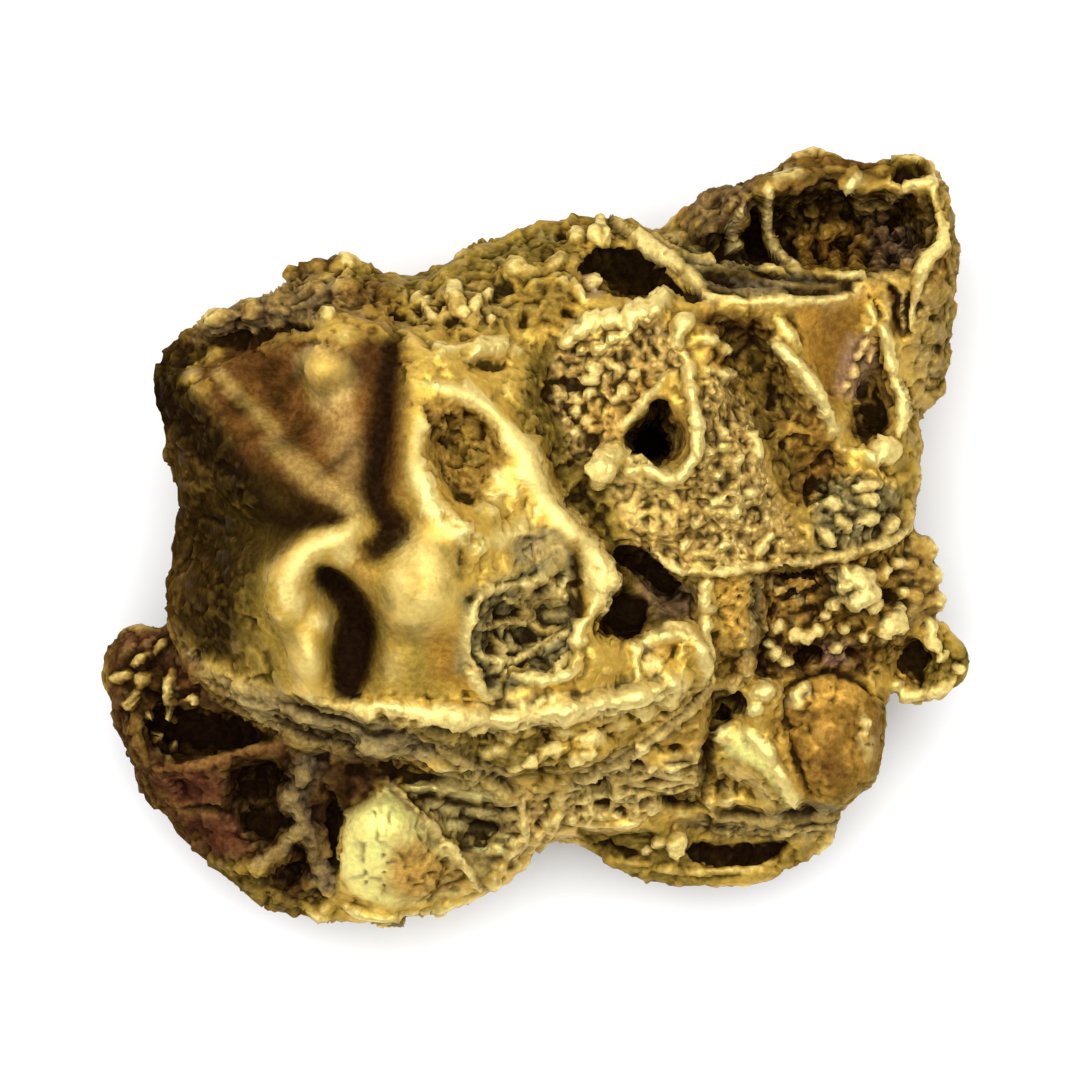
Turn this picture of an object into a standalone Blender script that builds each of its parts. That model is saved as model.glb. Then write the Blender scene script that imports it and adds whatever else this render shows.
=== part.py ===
"""A natural gold nugget, eleven millimetres across, lying on the flats worn on its underside.

Lengths are in millimetres in the lists below and become metres where a mesh is made. X runs to
the right and Y away across the top of the nugget, and Z is up from the surface it rests on. The
nugget is one piece. Its masses are blocks and lumps with their corners at real heights. Hollows
are then cut down into them, and ridges and grains laid on them, at places given in plan: their
height is read from the surface that they lie on.
"""

import math
import random

import bmesh
import bpy
from mathutils import Euler, Matrix, Vector
from mathutils.bvhtree import BVHTree

MM = 0.001
VOXEL = 0.1
MOST_TRIANGLES = 9400
GOLD = (0.72, 0.50, 0.14, 1.0)
GOLD_ROUGHNESS = 0.35

LUMP_DETAIL = 3
STRAND_SIDES = 2
WELD = 0.001
PATH_STEP = 0.16
THIN_END = 0.35
END_SHAPE = 3
ABOVE_ALL = 9.0
NO_SURFACE = 2.0
RIDGE_LIFT = 0.35
GRAIN_LIFT = 0.35
BOSS_HEIGHT = 0.75
BOSS_OVAL = 0.85
SCOOP_CLEAR = 0.4
SCOOP_FLOOR = 0.55
HOLE_TOP_CLEAR = 0.6

WAVE_WIDTH = 0.75
WAVE_DEPTH = 0.22
WAVE_MIDDLE = 0.3
SOFTENING = 0.5
MASS_SOFTENING = 2
LAST_SOFTENING = 1
SHARP_ANGLE = 50

SEED = 12
FLANK_LUMPS = 60
FLANK_PITS = 190
LUMP_WIDTHS = (0.2, 0.5)
PIT_WIDTHS = (0.15, 0.5)
LUMPS_TOP = 1.1
PITS_TOP = 3.8
FLANK_AIM = (3.6, 2.6, 2.2)
FLANK_TILT = -0.2
FLANK_SPREAD = 0.5
FLANK_FACING = 0.3
FLANK_OVAL = 0.6
LUMP_RELIEF = 0.4
PIT_RELIEF = 0.28
FLOOR_BOX = 8.0
FLOOR_DEPTH = 4.0


# The shapes that the nugget is made of. Each returns a bmesh in metres.


def block(*corners):
    """The convex block that has these corners."""
    shape = bmesh.new()
    for corner in corners:
        shape.verts.new(Vector(corner) * MM)
    hull = bmesh.ops.convex_hull(shape, input=shape.verts)
    loose = [v for v in hull["geom_interior"] if isinstance(v, bmesh.types.BMVert)]
    bmesh.ops.delete(shape, geom=loose, context="VERTS")
    bmesh.ops.recalc_face_normals(shape, faces=shape.faces)
    return shape


def lump(centre, radii, turn=(0, 0, 0)):
    """A rounded lump, with its half-widths and its turn about X, Y and Z in degrees."""
    shape = bmesh.new()
    bmesh.ops.create_icosphere(shape, subdivisions=LUMP_DETAIL, radius=1.0)
    turned = Euler([math.radians(angle) for angle in turn]).to_matrix().to_4x4()
    stretch = Matrix.Diagonal((*[radius * MM for radius in radii], 1.0))
    placed = Matrix.Translation(Vector(centre) * MM) @ turned @ stretch
    bmesh.ops.transform(shape, matrix=placed, verts=shape.verts)
    return shape


def swell(place, count):
    """How thick a strand is here, from THIN_END at its ends to 1 in its middle."""
    from_middle = abs(2 * place / (count - 1) - 1)
    return THIN_END + (1 - THIN_END) * (1 - from_middle**END_SHAPE)


def strand(radius, points):
    """A round strand along the points, thinner towards both ends."""
    curve = bpy.data.curves.new("strand", "CURVE")
    curve.dimensions = "3D"
    curve.bevel_depth = radius * MM
    curve.bevel_resolution = STRAND_SIDES
    curve.use_fill_caps = True
    line = curve.splines.new("POLY")
    line.points.add(len(points) - 1)
    for index, (place, point) in enumerate(zip(line.points, points)):
        place.co = (*(Vector(point) * MM), 1.0)
        place.radius = swell(index, len(points))
    holder = bpy.data.objects.new("strand", curve)
    bpy.context.scene.collection.objects.link(holder)
    graph = bpy.context.evaluated_depsgraph_get()
    mesh = bpy.data.meshes.new_from_object(holder.evaluated_get(graph))
    shape = bmesh.new()
    shape.from_mesh(mesh)
    bmesh.ops.remove_doubles(shape, verts=shape.verts, dist=WELD * MM)
    bpy.data.objects.remove(holder)
    bpy.data.curves.remove(curve)
    bpy.data.meshes.remove(mesh)
    return shape


# Shapes placed in plan on the surface made so far.


def height(ground, x, y):
    """How high the surface is here, seen from above."""
    place = ground.ray_cast(Vector((x, y, ABOVE_ALL)) * MM, Vector((0, 0, -1)))[0]
    return place.z / MM if place else NO_SURFACE


def path_points(corners):
    """Points every PATH_STEP along a smooth path through the plan corners."""
    ends = [corners[0], *corners, corners[-1]]
    points = []
    for before, start, end, after in zip(ends, ends[1:], ends[2:], ends[3:]):
        a, b, c, d = (Vector(p) for p in (before, start, end, after))
        steps = max(1, round((c - b).length / PATH_STEP))
        for step in range(steps):
            t = step / steps
            pull = (c - a) * t + (2 * a - 5 * b + 4 * c - d) * t**2
            pull += (3 * b - a - 3 * c + d) * t**3
            points.append(b + pull / 2)
    return [*points, Vector(corners[-1])]


def laid(ground, radius, lift, corners):
    """A strand along a plan path, its axis this far above the surface in the middle."""
    plan = path_points(corners)
    levels = [height(ground, p.x, p.y) for p in plan]
    wide = [levels[0], *levels, levels[-1]]
    even = [sum(three) / 3 for three in zip(wide, wide[1:], wide[2:])]
    lifts = [lift * swell(index, len(plan)) for index in range(len(plan))]
    return strand(radius, [(p.x, p.y, z + up) for p, z, up in zip(plan, even, lifts)])


def ridge(ground, radius, *corners):
    """A raised seam of metal."""
    return laid(ground, radius, RIDGE_LIFT * radius, corners)


def groove(ground, radius, depth, *corners):
    """A slot cut to this depth, as strands one below another, to be taken away."""
    layers = 1 + math.ceil(depth / radius)
    for layer in range(layers):
        yield laid(ground, radius, radius - (depth + radius) * layer / (layers - 1), corners)


def pit(ground, x, y, width, length, depth, turn=0):
    """A round-bottomed hollow of these half-widths, to be taken away."""
    return lump((x, y, height(ground, x, y)), (width, length, depth), (0, 0, turn))


def scoop(ground, depth, *mouth):
    """A hollow with this outline in plan, its walls sloping in to a smaller floor, to be taken away."""
    middle = sum((Vector(corner) for corner in mouth), Vector((0, 0))) / len(mouth)
    rings = []
    for x, y in mouth:
        level = height(ground, x, y)
        inner = middle.lerp(Vector((x, y)), SCOOP_FLOOR)
        rings += [(x, y, level + SCOOP_CLEAR), (x, y, level), (inner.x, inner.y, level - depth)]
    return block(*rings)


def grain(ground, x, y, radius):
    """A grain half sunk in the surface."""
    level = height(ground, x, y) + radius * GRAIN_LIFT
    return lump((x, y, level), (radius, radius, radius))


# The masses, region by region.


def left_lobe():
    """The highest mass, a boulder with a scooped upper face and a long lower flank."""
    yield block(
        (-3.7, 1.8, 0.8), (-3.5, 0.6, 0.6), (-2.6, 2.6, 0.9), (-0.5, 2.5, 0.7),
        (0.3, 0.6, 0.4), (-1.5, 0.3, 0.3), (-4.87, 2.05, 3.0), (-4.6, 2.5, 3.1),
        (-4.2, 2.8, 3.2), (-3.4, 3.08, 3.3), (-2.3, 3.4, 3.2), (-0.9, 3.3, 3.0),
        (-4.45, 0.35, 3.0), (-4.52, 0.9, 3.0), (-4.75, 1.6, 2.9), (-4.2, 1.9, 4.6),
        (-3.9, 2.6, 4.3), (-3.2, 1.2, 5.4), (-3.5, 0.4, 5.2), (-2.3, 2.6, 5.4),
        (-2.2, 0.3, 6.1), (-1.4, 2.2, 5.6), (-1.2, 0.3, 6.0), (-0.6, 1.7, 5.3),
        (-0.1, 0.8, 5.2), (0.1, 0.2, 4.9), (0.1, 2.3, 4.4),
    )
    yield block(
        (-3.7, 0.3, 0.7), (-3.4, -1.2, 0.6), (-1.5, -2.0, 0.6), (0.8, -1.6, 0.4),
        (0.6, 0.4, 0.4), (-4.62, -0.3, 2.7), (-4.65, -0.95, 2.8), (-4.45, 0.4, 2.8),
        (-4.2, -1.65, 2.9), (-3.1, -2.45, 2.9), (-1.9, -2.55, 2.9), (-0.6, -2.88, 2.9),
        (0.5, -2.88, 2.9), (1.3, -2.5, 2.9), (2.0, -1.85, 2.9), (1.9, -1.0, 2.8),
        (-4.5, -0.9, 3.5), (-4.05, -1.6, 3.7), (-3.0, -2.35, 3.9), (-1.9, -2.5, 3.9),
        (-0.6, -2.85, 3.6), (0.5, -2.8, 3.5), (1.2, -2.5, 3.6), (1.9, -1.9, 3.8),
        (-3.2, -0.4, 5.8), (-2.4, 0.2, 6.2), (-1.2, 0.1, 6.2), (-0.9, -0.9, 5.9),
        (-2.9, -1.6, 5.4), (-2.2, -2.0, 5.2), (-0.5, -2.1, 5.1), (0.8, -1.9, 4.8),
        (1.5, -1.7, 4.4), (0.7, -0.4, 4.9), (0.3, 0.3, 5.1),
    )
    yield block(
        (-4.3, 2.75, 3.6), (-3.4, 3.05, 3.9), (-2.3, 3.3, 4.3), (-2.2, 3.0, 4.7),
        (-3.3, 2.8, 4.5), (-4.2, 2.55, 4.2), (-3.4, 2.4, 3.0), (-2.3, 2.6, 3.0),
    )
    yield lump((-2.65, 3.32, 2.9), (0.52, 0.24, 0.45), (0, 0, 8))
    yield lump((-1.5, -0.5, 5.75), (0.55, 0.65, 0.8))
    yield lump((1.5, -1.45, 4.1), (0.52, 0.5, 0.5))
    for x, y, z in ((-1.9, -2.4, 4.4), (-1.1, -2.55, 4.3), (-0.25, -2.6, 4.2), (0.55, -2.5, 4.1)):
        yield lump((x, y, z), (0.38, 0.28, 0.35))


def heart():
    """The ground that joins the lobe to the right block, and carries the valley between."""
    yield block(
        (-0.8, 2.4, 0.6), (1.6, 2.4, 0.6), (2.0, -1.4, 0.5), (-0.8, -1.6, 0.5),
        (-0.5, 2.5, 4.3), (0.6, 2.4, 4.1), (0.4, 1.6, 4.25), (0.4, 0.9, 4.25),
        (0.9, 0.3, 4.0), (1.3, -0.2, 3.9), (1.9, -0.6, 3.5), (1.9, -1.4, 3.4),
        (0.6, -1.6, 4.3), (0.2, 0.6, 4.6),
    )


def middle_mound():
    """The rough shoulder between the lobe and the bowl."""
    yield block(
        (-0.6, 3.2, 0.8), (0.8, 3.3, 0.8), (1.3, 2.4, 0.5), (-1.0, 2.4, 0.5),
        (-1.5, 3.4, 2.7), (-0.75, 3.6, 2.7), (-0.45, 3.85, 2.7), (0.0, 4.0, 2.7),
        (0.5, 4.1, 2.7), (1.0, 4.05, 2.7), (1.35, 3.9, 2.7), (1.65, 3.9, 2.7),
        (-1.3, 3.3, 3.9), (-0.5, 3.6, 3.6), (0.3, 3.85, 3.4), (0.9, 3.85, 3.4),
        (1.35, 3.7, 3.4), (1.85, 3.3, 3.9), (1.6, 2.8, 4.2), (0.0, 2.4, 4.4),
        (-1.2, 2.7, 4.7),
    )
    yield lump((0.1, 2.95, 4.15), (0.4, 0.3, 0.35))
    yield lump((-1.0, 2.95, 4.5), (0.25, 0.2, 0.25))


def right_block():
    """The angular block."""
    yield block(
        (0.5, 2.2, 0.6), (3.6, 2.6, 0.5), (4.0, 0.4, 0.8), (1.5, 0.0, 0.3),
        (4.75, 1.2, 2.2), (4.65, 0.35, 2.3), (4.65, 0.15, 2.6), (0.3, 2.45, 4.35),
        (0.5, 1.0, 4.3), (1.0, 0.2, 4.25), (1.5, -0.15, 4.15), (2.0, -0.4, 4.1),
        (3.1, -0.3, 3.95), (4.2, -0.05, 3.5), (4.6, 0.15, 3.1), (4.68, 1.1, 3.1),
        (4.4, 2.4, 3.5), (4.2, 3.1, 3.6), (3.2, 3.0, 4.0), (2.1, 3.0, 4.3),
        (1.4, 2.95, 4.4), (2.0, 1.4, 4.6), (1.0, 2.5, 4.5),
    )


def top_right_bowl():
    """The mass that the bowl is hollowed from."""
    yield block(
        (2.5, 3.9, 0.9), (3.4, 4.3, 0.7), (4.7, 4.2, 0.8), (4.7, 3.0, 0.6),
        (4.5, 2.3, 0.9), (2.5, 3.1, 0.6), (1.62, 3.95, 2.7), (2.0, 4.32, 2.7),
        (2.2, 4.48, 2.7), (2.9, 4.6, 2.6), (3.7, 4.75, 2.6), (4.6, 4.78, 2.6),
        (5.0, 4.65, 2.6), (5.2, 4.1, 2.6), (5.28, 3.6, 2.6), (5.18, 3.2, 2.6),
        (5.1, 2.6, 2.5), (5.05, 1.9, 2.4), (4.75, 1.65, 2.4), (2.2, 4.2, 3.7),
        (2.9, 4.45, 3.8), (3.3, 4.65, 3.6), (4.5, 4.7, 3.6), (4.95, 4.55, 3.7),
        (5.08, 4.0, 3.8), (5.08, 3.4, 3.8), (4.95, 2.6, 3.5), (4.9, 2.0, 3.0),
        (1.9, 3.5, 3.8), (4.5, 2.6, 3.6), (2.0, 3.1, 4.0), (4.3, 3.1, 3.7),
    )
    yield lump((3.48, 4.7, 2.95), (0.38, 0.23, 0.6))
    yield lump((4.6, 4.65, 2.9), (0.42, 0.2, 0.6))


def porous_middle():
    """The crumbly ground below the right block, and the knobs at its far end."""
    yield block(
        (1.6, -0.3, 0.9), (3.9, -0.4, 0.9), (3.8, -1.6, 0.9), (1.6, -2.0, 0.7),
        (1.3, -0.3, 3.3), (4.2, 0.0, 3.1), (4.75, 0.0, 2.5), (4.8, -0.6, 2.4),
        (4.3, -1.75, 2.3), (4.2, -1.1, 2.9), (3.6, -1.6, 2.9), (2.2, -2.1, 3.0),
        (1.5, -2.4, 3.0), (1.7, -1.0, 3.3),
    )
    yield block(
        (-0.5, -2.2, 0.7), (2.2, -1.8, 0.6), (2.4, -3.3, 0.6), (0.2, -3.3, 0.7),
        (-0.5, -2.2, 2.4), (2.2, -1.8, 2.4), (2.4, -3.3, 2.2), (0.2, -3.4, 2.2),
    )
    yield block(
        (2.02, -0.35, 4.15), (2.6, -0.35, 4.0), (2.65, -1.3, 3.55), (2.5, -1.9, 3.3),
        (2.1, -1.95, 3.4), (2.0, -1.2, 3.85), (1.9, -0.5, 2.5), (2.7, -0.5, 2.5),
        (2.6, -1.9, 2.5), (2.0, -1.9, 2.5),
    )
    yield lump((3.9, -0.5, 3.1), (0.32, 0.27, 0.4))
    yield lump((4.3, -1.05, 2.85), (0.22, 0.15, 0.25), (0, 0, -30))
    yield lump((4.72, -0.1, 2.3), (0.26, 0.24, 0.4))
    yield lump((4.75, -0.62, 2.35), (0.31, 0.32, 0.4))
    yield block(
        (4.2, -0.9, 1.2), (4.9, -0.9, 1.3), (5.2, -1.5, 1.2), (4.7, -1.9, 1.1),
        (4.1, -1.5, 1.1), (4.2, -0.9, 2.6), (4.95, -0.95, 2.4), (5.25, -1.25, 2.2),
        (5.3, -1.7, 1.9), (4.75, -1.95, 2.0), (4.3, -1.75, 2.2),
    )
    yield lump((5.18, -1.52, 1.95), (0.3, 0.36, 0.4))


def dome_and_ledges():
    """The smooth dome, the wedge beside it, and the ledges that step down to the cup."""
    yield lump((3.67, -2.5, 2.15), (0.71, 0.87, 1.05))
    yield lump((2.72, -1.98, 3.1), (0.22, 0.22, 0.35))
    yield block(
        (2.3, -2.4, 3.0), (2.75, -2.25, 3.2), (2.95, -2.6, 3.2), (3.25, -3.25, 2.6),
        (3.0, -3.35, 2.4), (2.3, -3.3, 2.35), (2.2, -2.7, 2.8), (2.3, -2.3, 1.4),
        (3.2, -2.4, 1.2), (3.2, -3.2, 1.2), (2.3, -3.2, 1.2),
    )
    for corners in (
        ((1.5, -2.1, 3.7), (2.05, -1.95, 3.7), (2.05, -2.85, 3.5), (1.4, -2.8, 3.5)),
        ((0.95, -2.8, 3.0), (2.02, -2.72, 3.0), (2.02, -3.14, 2.9), (1.0, -3.16, 2.9)),
        ((0.25, -3.05, 2.4), (1.5, -3.1, 2.35), (1.5, -3.58, 2.25), (0.35, -3.68, 2.2)),
        ((-0.3, -2.7, 2.9), (0.5, -2.8, 2.9), (0.4, -3.6, 2.4), (-0.1, -3.75, 2.3)),
    ):
        yield block(*corners, *((x, y, 0.9) for x, y, _ in corners))


def cup():
    """The shallow cup at the near edge."""
    yield block(
        (0.9, -3.4, 0.5), (1.6, -3.9, 0.6), (2.9, -3.9, 0.6), (3.4, -3.4, 0.5),
        (2.4, -2.6, 0.4), (0.5, -3.65, 1.5), (0.75, -3.98, 1.5), (1.0, -4.13, 1.5),
        (1.5, -4.27, 1.4), (2.1, -4.32, 1.4), (2.7, -4.27, 1.4), (3.1, -4.12, 1.4),
        (3.5, -3.93, 1.4), (3.75, -3.7, 1.5), (3.8, -3.4, 1.6), (0.6, -3.6, 1.7),
        (1.1, -4.05, 1.6), (2.1, -4.2, 1.6), (3.0, -4.05, 1.6), (3.7, -3.6, 1.7),
        (3.7, -3.3, 1.8), (1.0, -3.3, 1.8),
    )


def lower_left_block():
    """The lower block that the lobe overhangs, with a bright teardrop of metal on it."""
    yield block(
        (-4.4, -2.0, 0.6), (-3.6, -3.4, 0.5), (-1.6, -3.7, 0.5), (-0.8, -2.8, 0.5),
        (-2.0, -1.6, 0.4), (-5.2, -1.15, 1.7), (-5.4, -1.4, 1.7), (-5.47, -1.7, 1.7),
        (-5.4, -2.1, 1.7), (-5.25, -2.4, 1.6), (-5.15, -2.75, 1.6), (-4.95, -3.1, 1.6),
        (-4.6, -3.58, 1.5), (-4.2, -4.02, 1.5), (-3.7, -4.42, 1.5), (-3.35, -4.6, 1.5),
        (-2.3, -4.78, 1.5), (-1.5, -4.74, 1.5), (-1.1, -4.66, 1.5), (-0.7, -4.42, 1.6),
        (-0.3, -4.15, 1.7), (0.0, -3.8, 1.8), (-5.0, -1.3, 2.7), (-5.1, -2.3, 2.6),
        (-4.65, -3.2, 2.5), (-3.6, -4.1, 2.2), (-2.4, -4.4, 2.1), (-1.2, -4.3, 2.1),
        (-0.4, -3.7, 2.4), (-0.2, -3.1, 2.8), (-1.9, -2.9, 3.1), (-3.1, -2.7, 3.1),
        (-4.5, -1.5, 3.0),
    )
    yield lump((-4.95, -1.58, 2.3), (0.5, 0.58, 0.65))
    yield block(
        (-2.0, -3.0, 3.45), (-1.8, -3.05, 3.45), (-2.5, -3.5, 3.1), (-2.5, -4.3, 2.5),
        (-1.95, -4.6, 2.2), (-1.3, -4.4, 2.4), (-1.35, -3.75, 3.0), (-2.1, -3.7, 3.45),
        (-1.75, -3.6, 3.5), (-2.4, -4.3, 1.5), (-1.4, -4.3, 1.5),
    )
    yield lump((-1.95, -4.78, 1.7), (0.16, 0.13, 0.2))


def underside():
    """The rounded bosses that the nugget rests on, or that stop just short of the ground."""
    for x, y, radius, gap in (
        (-3.1, 1.3, 1.0, -0.1), (-1.5, 2.0, 0.9, 0.15), (-2.5, -0.9, 1.1, 0.1),
        (-0.3, -0.6, 1.3, -0.14), (0.9, 1.8, 1.0, 0.12), (3.0, 2.9, 1.1, -0.1),
        (3.7, 1.2, 0.9, 0.2), (2.3, -1.1, 1.0, 0.1), (4.1, 3.7, 0.8, 0.3),
        (-3.5, -2.9, 1.0, -0.1), (-1.5, -3.2, 0.9, 0.1), (2.3, -3.0, 0.9, -0.1),
        (3.4, -2.3, 0.7, 0.35),
    ):
        tall = radius * BOSS_HEIGHT
        yield lump((x, y, tall + gap), (radius, radius * BOSS_OVAL, tall))


# What is cut down into the masses.


def lobe_hollows(ground):
    """The scooped face, the slots of the crown, the pocket and the sunken panel."""
    yield scoop(ground, 0.35, (-4.2, 1.95), (-3.6, 2.3), (-2.9, 2.45), (-2.25, 2.4), (-2.18, 1.4),
                (-2.18, 0.5), (-2.7, 0.8), (-3.5, 1.3))
    yield from groove(ground, 0.2, 0.4, (-4.65, 2.35), (-4.1, 2.38), (-3.6, 2.62), (-2.85, 2.72))
    yield from groove(ground, 0.14, 0.32, (-2.0, 2.5), (-2.06, 1.7), (-1.98, 0.8), (-2.02, -0.1))
    yield from groove(ground, 0.24, 0.6, (-2.62, -0.2), (-2.42, -0.75), (-2.3, -1.3), (-2.48, -1.85))
    yield from groove(ground, 0.12, 0.25, (-3.4, -0.1), (-3.55, -0.7), (-3.2, -1.3), (-3.1, -1.9))
    yield scoop(ground, 0.8, (-1.45, 1.3), (-1.28, 1.72), (-0.82, 1.7), (-0.42, 1.2),
                (-0.48, 0.85), (-0.85, 0.52), (-1.22, 0.6))
    yield pit(ground, -0.95, -0.28, 0.13, 0.24, 0.4)
    yield scoop(ground, 0.5, (-0.25, -0.35), (0.15, -0.12), (0.42, -0.35), (0.5, -1.0),
                (0.35, -1.5), (-0.3, -1.92), (-0.75, -1.7), (-0.8, -1.1))
    yield scoop(ground, 0.7, (0.78, -0.62), (1.15, -0.5), (1.45, -0.8), (1.2, -1.15), (0.86, -1.2))
    yield pit(ground, 1.48, -1.42, 0.27, 0.25, 0.3)
    yield from groove(ground, 0.11, 0.25, (-0.98, 2.14), (-0.35, 2.13))
    for x, y, width in ((-1.75, -2.25, 0.2), (-0.75, -2.42, 0.2), (0.2, -2.4, 0.22), (0.9, -2.3, 0.2)):
        yield pit(ground, x, y, width * 1.6, width * 0.7, 0.3, 8)


def shoulder_hollows(ground):
    """The pits of the rough shoulder, and the dark hollow beside the bowl."""
    for x, y, width, length, depth in (
        (-1.7, 2.85, 0.2, 0.26, 0.4), (-1.32, 2.97, 0.15, 0.15, 0.25),
        (-1.1, 2.68, 0.14, 0.14, 0.25), (-0.48, 3.08, 0.15, 0.15, 0.3),
        (0.3, 3.85, 0.13, 0.13, 0.25), (-0.1, 2.75, 0.14, 0.12, 0.2),
    ):
        yield pit(ground, x, y, width, length, depth)
    yield scoop(ground, 0.9, (0.45, 3.15), (0.5, 3.5), (0.8, 3.7), (1.2, 3.62), (1.7, 3.3),
                (1.92, 3.07), (1.3, 3.08))


def right_hollows(ground):
    """The deep black hole, the hollow facet and the side pocket of the angular block."""
    top = height(ground, 1.4, 1.3) + HOLE_TOP_CLEAR
    yield block(
        (1.5, 1.82, top), (1.03, 1.3, top), (1.12, 0.96, top), (1.65, 0.96, top),
        (1.88, 1.2, top), (1.78, 1.6, top), (1.4, 1.55, 2.4), (1.2, 1.25, 2.4),
        (1.6, 1.1, 2.4),
    )
    yield scoop(ground, 0.45, (2.15, 2.8), (2.6, 2.85), (2.9, 2.62), (3.35, 1.6), (2.9, 1.2),
                (2.5, 1.5), (2.15, 2.2))
    yield scoop(ground, 0.35, (2.95, 1.5), (3.5, 1.35), (4.0, 0.95), (3.6, 0.55), (3.05, 0.35),
                (2.9, 0.9))
    yield scoop(ground, 0.22, (3.3, 2.85), (4.0, 2.9), (4.15, 2.5), (3.85, 1.9), (3.72, 1.55),
                (3.5, 2.0))
    yield scoop(ground, 0.8, (4.05, 2.6), (4.25, 2.4), (4.38, 1.9), (4.35, 1.45), (4.0, 1.4),
                (3.78, 1.6), (3.9, 2.1))
    yield scoop(ground, 0.7, (1.05, 0.05), (1.35, -0.1), (1.9, -0.45), (1.9, -0.75), (1.5, -0.75),
                (1.15, -0.4))


def bowl_hollows(ground):
    """The inside of the bowl and the cracks in its wall."""
    yield block(
        (1.95, 3.7, 4.6), (2.3, 4.28, 4.6), (3.2, 4.45, 4.6), (4.6, 4.5, 4.6),
        (4.88, 4.2, 4.6), (4.86, 3.6, 4.6), (4.5, 3.22, 4.6), (2.2, 3.28, 4.6),
        (2.4, 3.85, 2.5), (3.4, 4.2, 2.1), (4.5, 4.25, 2.1), (4.6, 3.7, 2.1),
        (3.2, 3.65, 2.1),
    )
    yield pit(ground, 4.6, 4.68, 0.22, 0.14, 0.35)
    yield from groove(ground, 0.1, 0.35, (4.56, 3.2), (4.58, 2.9), (4.63, 2.55))


def near_hollows(ground):
    """The cavities of the crumbly ground, the gaps round the dome and the mouth of the cup."""
    yield scoop(ground, 0.7, (2.7, -0.45), (3.0, -0.38), (3.6, -0.42), (3.7, -0.65), (3.35, -0.9),
                (2.85, -0.85))
    yield pit(ground, 4.3, -0.66, 0.14, 0.14, 0.3)
    yield pit(ground, 3.93, -1.4, 0.13, 0.13, 0.3)
    yield pit(ground, 3.3, -1.5, 0.26, 0.14, 0.4)
    yield scoop(ground, 0.4, (4.5, -1.3), (4.75, -1.15), (4.98, -1.35), (5.05, -1.65),
                (4.75, -1.78), (4.5, -1.6))
    yield from groove(ground, 0.13, 0.5, (2.15, -1.95), (2.45, -2.25))
    yield from groove(ground, 0.12, 0.5, (2.12, -2.5), (2.14, -3.3))
    yield scoop(ground, 0.25, (2.25, -2.85), (2.8, -2.8), (2.95, -3.25), (2.45, -3.3))
    yield pit(ground, 1.65, -2.62, 0.14, 0.14, 0.3)
    yield pit(ground, 0.76, -3.36, 0.17, 0.11, 0.25)
    yield pit(ground, 1.14, -3.42, 0.13, 0.1, 0.25)
    yield scoop(ground, 0.5, (1.85, -3.82), (2.4, -3.85), (3.05, -3.8), (2.95, -4.0), (2.3, -4.07),
                (1.85, -3.99))
    yield from groove(ground, 0.1, 0.3, (1.8, -3.6), (2.6, -3.62), (3.4, -3.57))


def lower_left_hollows(ground):
    """The dark cavities of the lower block."""
    yield scoop(ground, 0.8, (-4.95, -2.15), (-4.4, -2.1), (-3.9, -2.3), (-3.2, -2.48),
                (-3.8, -2.57), (-4.5, -2.7), (-4.92, -2.6))
    yield scoop(ground, 0.6, (-3.9, -2.75), (-3.35, -2.7), (-3.12, -3.05), (-3.12, -3.4),
                (-3.4, -3.82), (-3.85, -3.75), (-3.95, -3.2))
    yield scoop(ground, 0.22, (-4.85, -2.95), (-4.1, -2.93), (-4.05, -3.25), (-4.6, -3.27))
    yield scoop(ground, 0.2, (-4.5, -3.42), (-3.98, -3.42), (-3.85, -3.8), (-4.15, -3.85))
    yield scoop(ground, 0.3, (-3.75, -4.1), (-3.05, -3.72), (-2.85, -4.2), (-3.3, -4.4))
    yield from groove(ground, 0.12, 0.3, (-2.72, -3.1), (-2.6, -3.6), (-2.62, -4.3))
    yield scoop(ground, 0.35, (-1.5, -3.05), (-0.9, -3.05), (-0.4, -3.3), (-0.35, -3.7),
                (-0.75, -4.05), (-1.15, -3.7))


# What is laid on the surface.


def lobe_ridges(ground):
    """The bright seams that frame the faces of the lobe."""
    yield ridge(ground, 0.22, (-2.25, 0.12), (-2.9, -0.12), (-3.2, -0.6), (-2.9, -1.05),
                (-2.85, -1.6), (-2.75, -1.95))
    yield ridge(ground, 0.12, (-3.95, 1.95), (-3.1, 1.3), (-2.25, 0.5))
    yield ridge(ground, 0.15, (-1.0, 1.92), (-0.6, 1.6), (-0.35, 1.25), (-0.12, 0.9),
                (0.1, 0.45), (0.6, -0.08), (0.73, -0.5), (0.6, -1.05), (0.75, -1.4),
                (1.0, -1.62))
    yield ridge(ground, 0.14, (-1.55, 1.55), (-1.47, 1.0), (-1.3, 0.47), (-0.9, 0.15),
                (-0.35, 0.3))
    yield ridge(ground, 0.12, (-1.45, 2.1), (-1.1, 2.36), (-0.15, 2.38))
    yield ridge(ground, 0.16, (-2.25, -2.05), (-1.2, -2.12), (-0.5, -2.2), (0.2, -2.1),
                (0.8, -2.0), (1.3, -1.84), (1.75, -1.7))
    yield ridge(ground, 0.11, (0.1, -2.98), (0.6, -2.85), (1.2, -2.55), (1.7, -2.2),
                (2.0, -1.85))
    yield ridge(ground, 0.13, (-4.5, -1.1), (-4.0, -1.72), (-2.9, -2.1), (-1.3, -2.35),
                (-0.9, -2.62), (-0.4, -2.88))
    yield ridge(ground, 0.1, (1.5, -1.12), (1.9, -1.3), (2.0, -1.6), (1.85, -1.95))
    yield ridge(ground, 0.1, (-0.2, -0.42), (-0.7, -0.88), (-0.88, -1.3), (-0.72, -1.85))
    yield ridge(ground, 0.13, (-4.25, 2.65), (-3.4, 2.95), (-2.3, 3.2))
    yield grain(ground, -2.6, 2.8, 0.2)
    yield grain(ground, -2.65, 2.2, 0.3)
    yield grain(ground, -0.75, 1.35, 0.2)
    yield grain(ground, -0.1, -1.6, 0.2)


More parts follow.
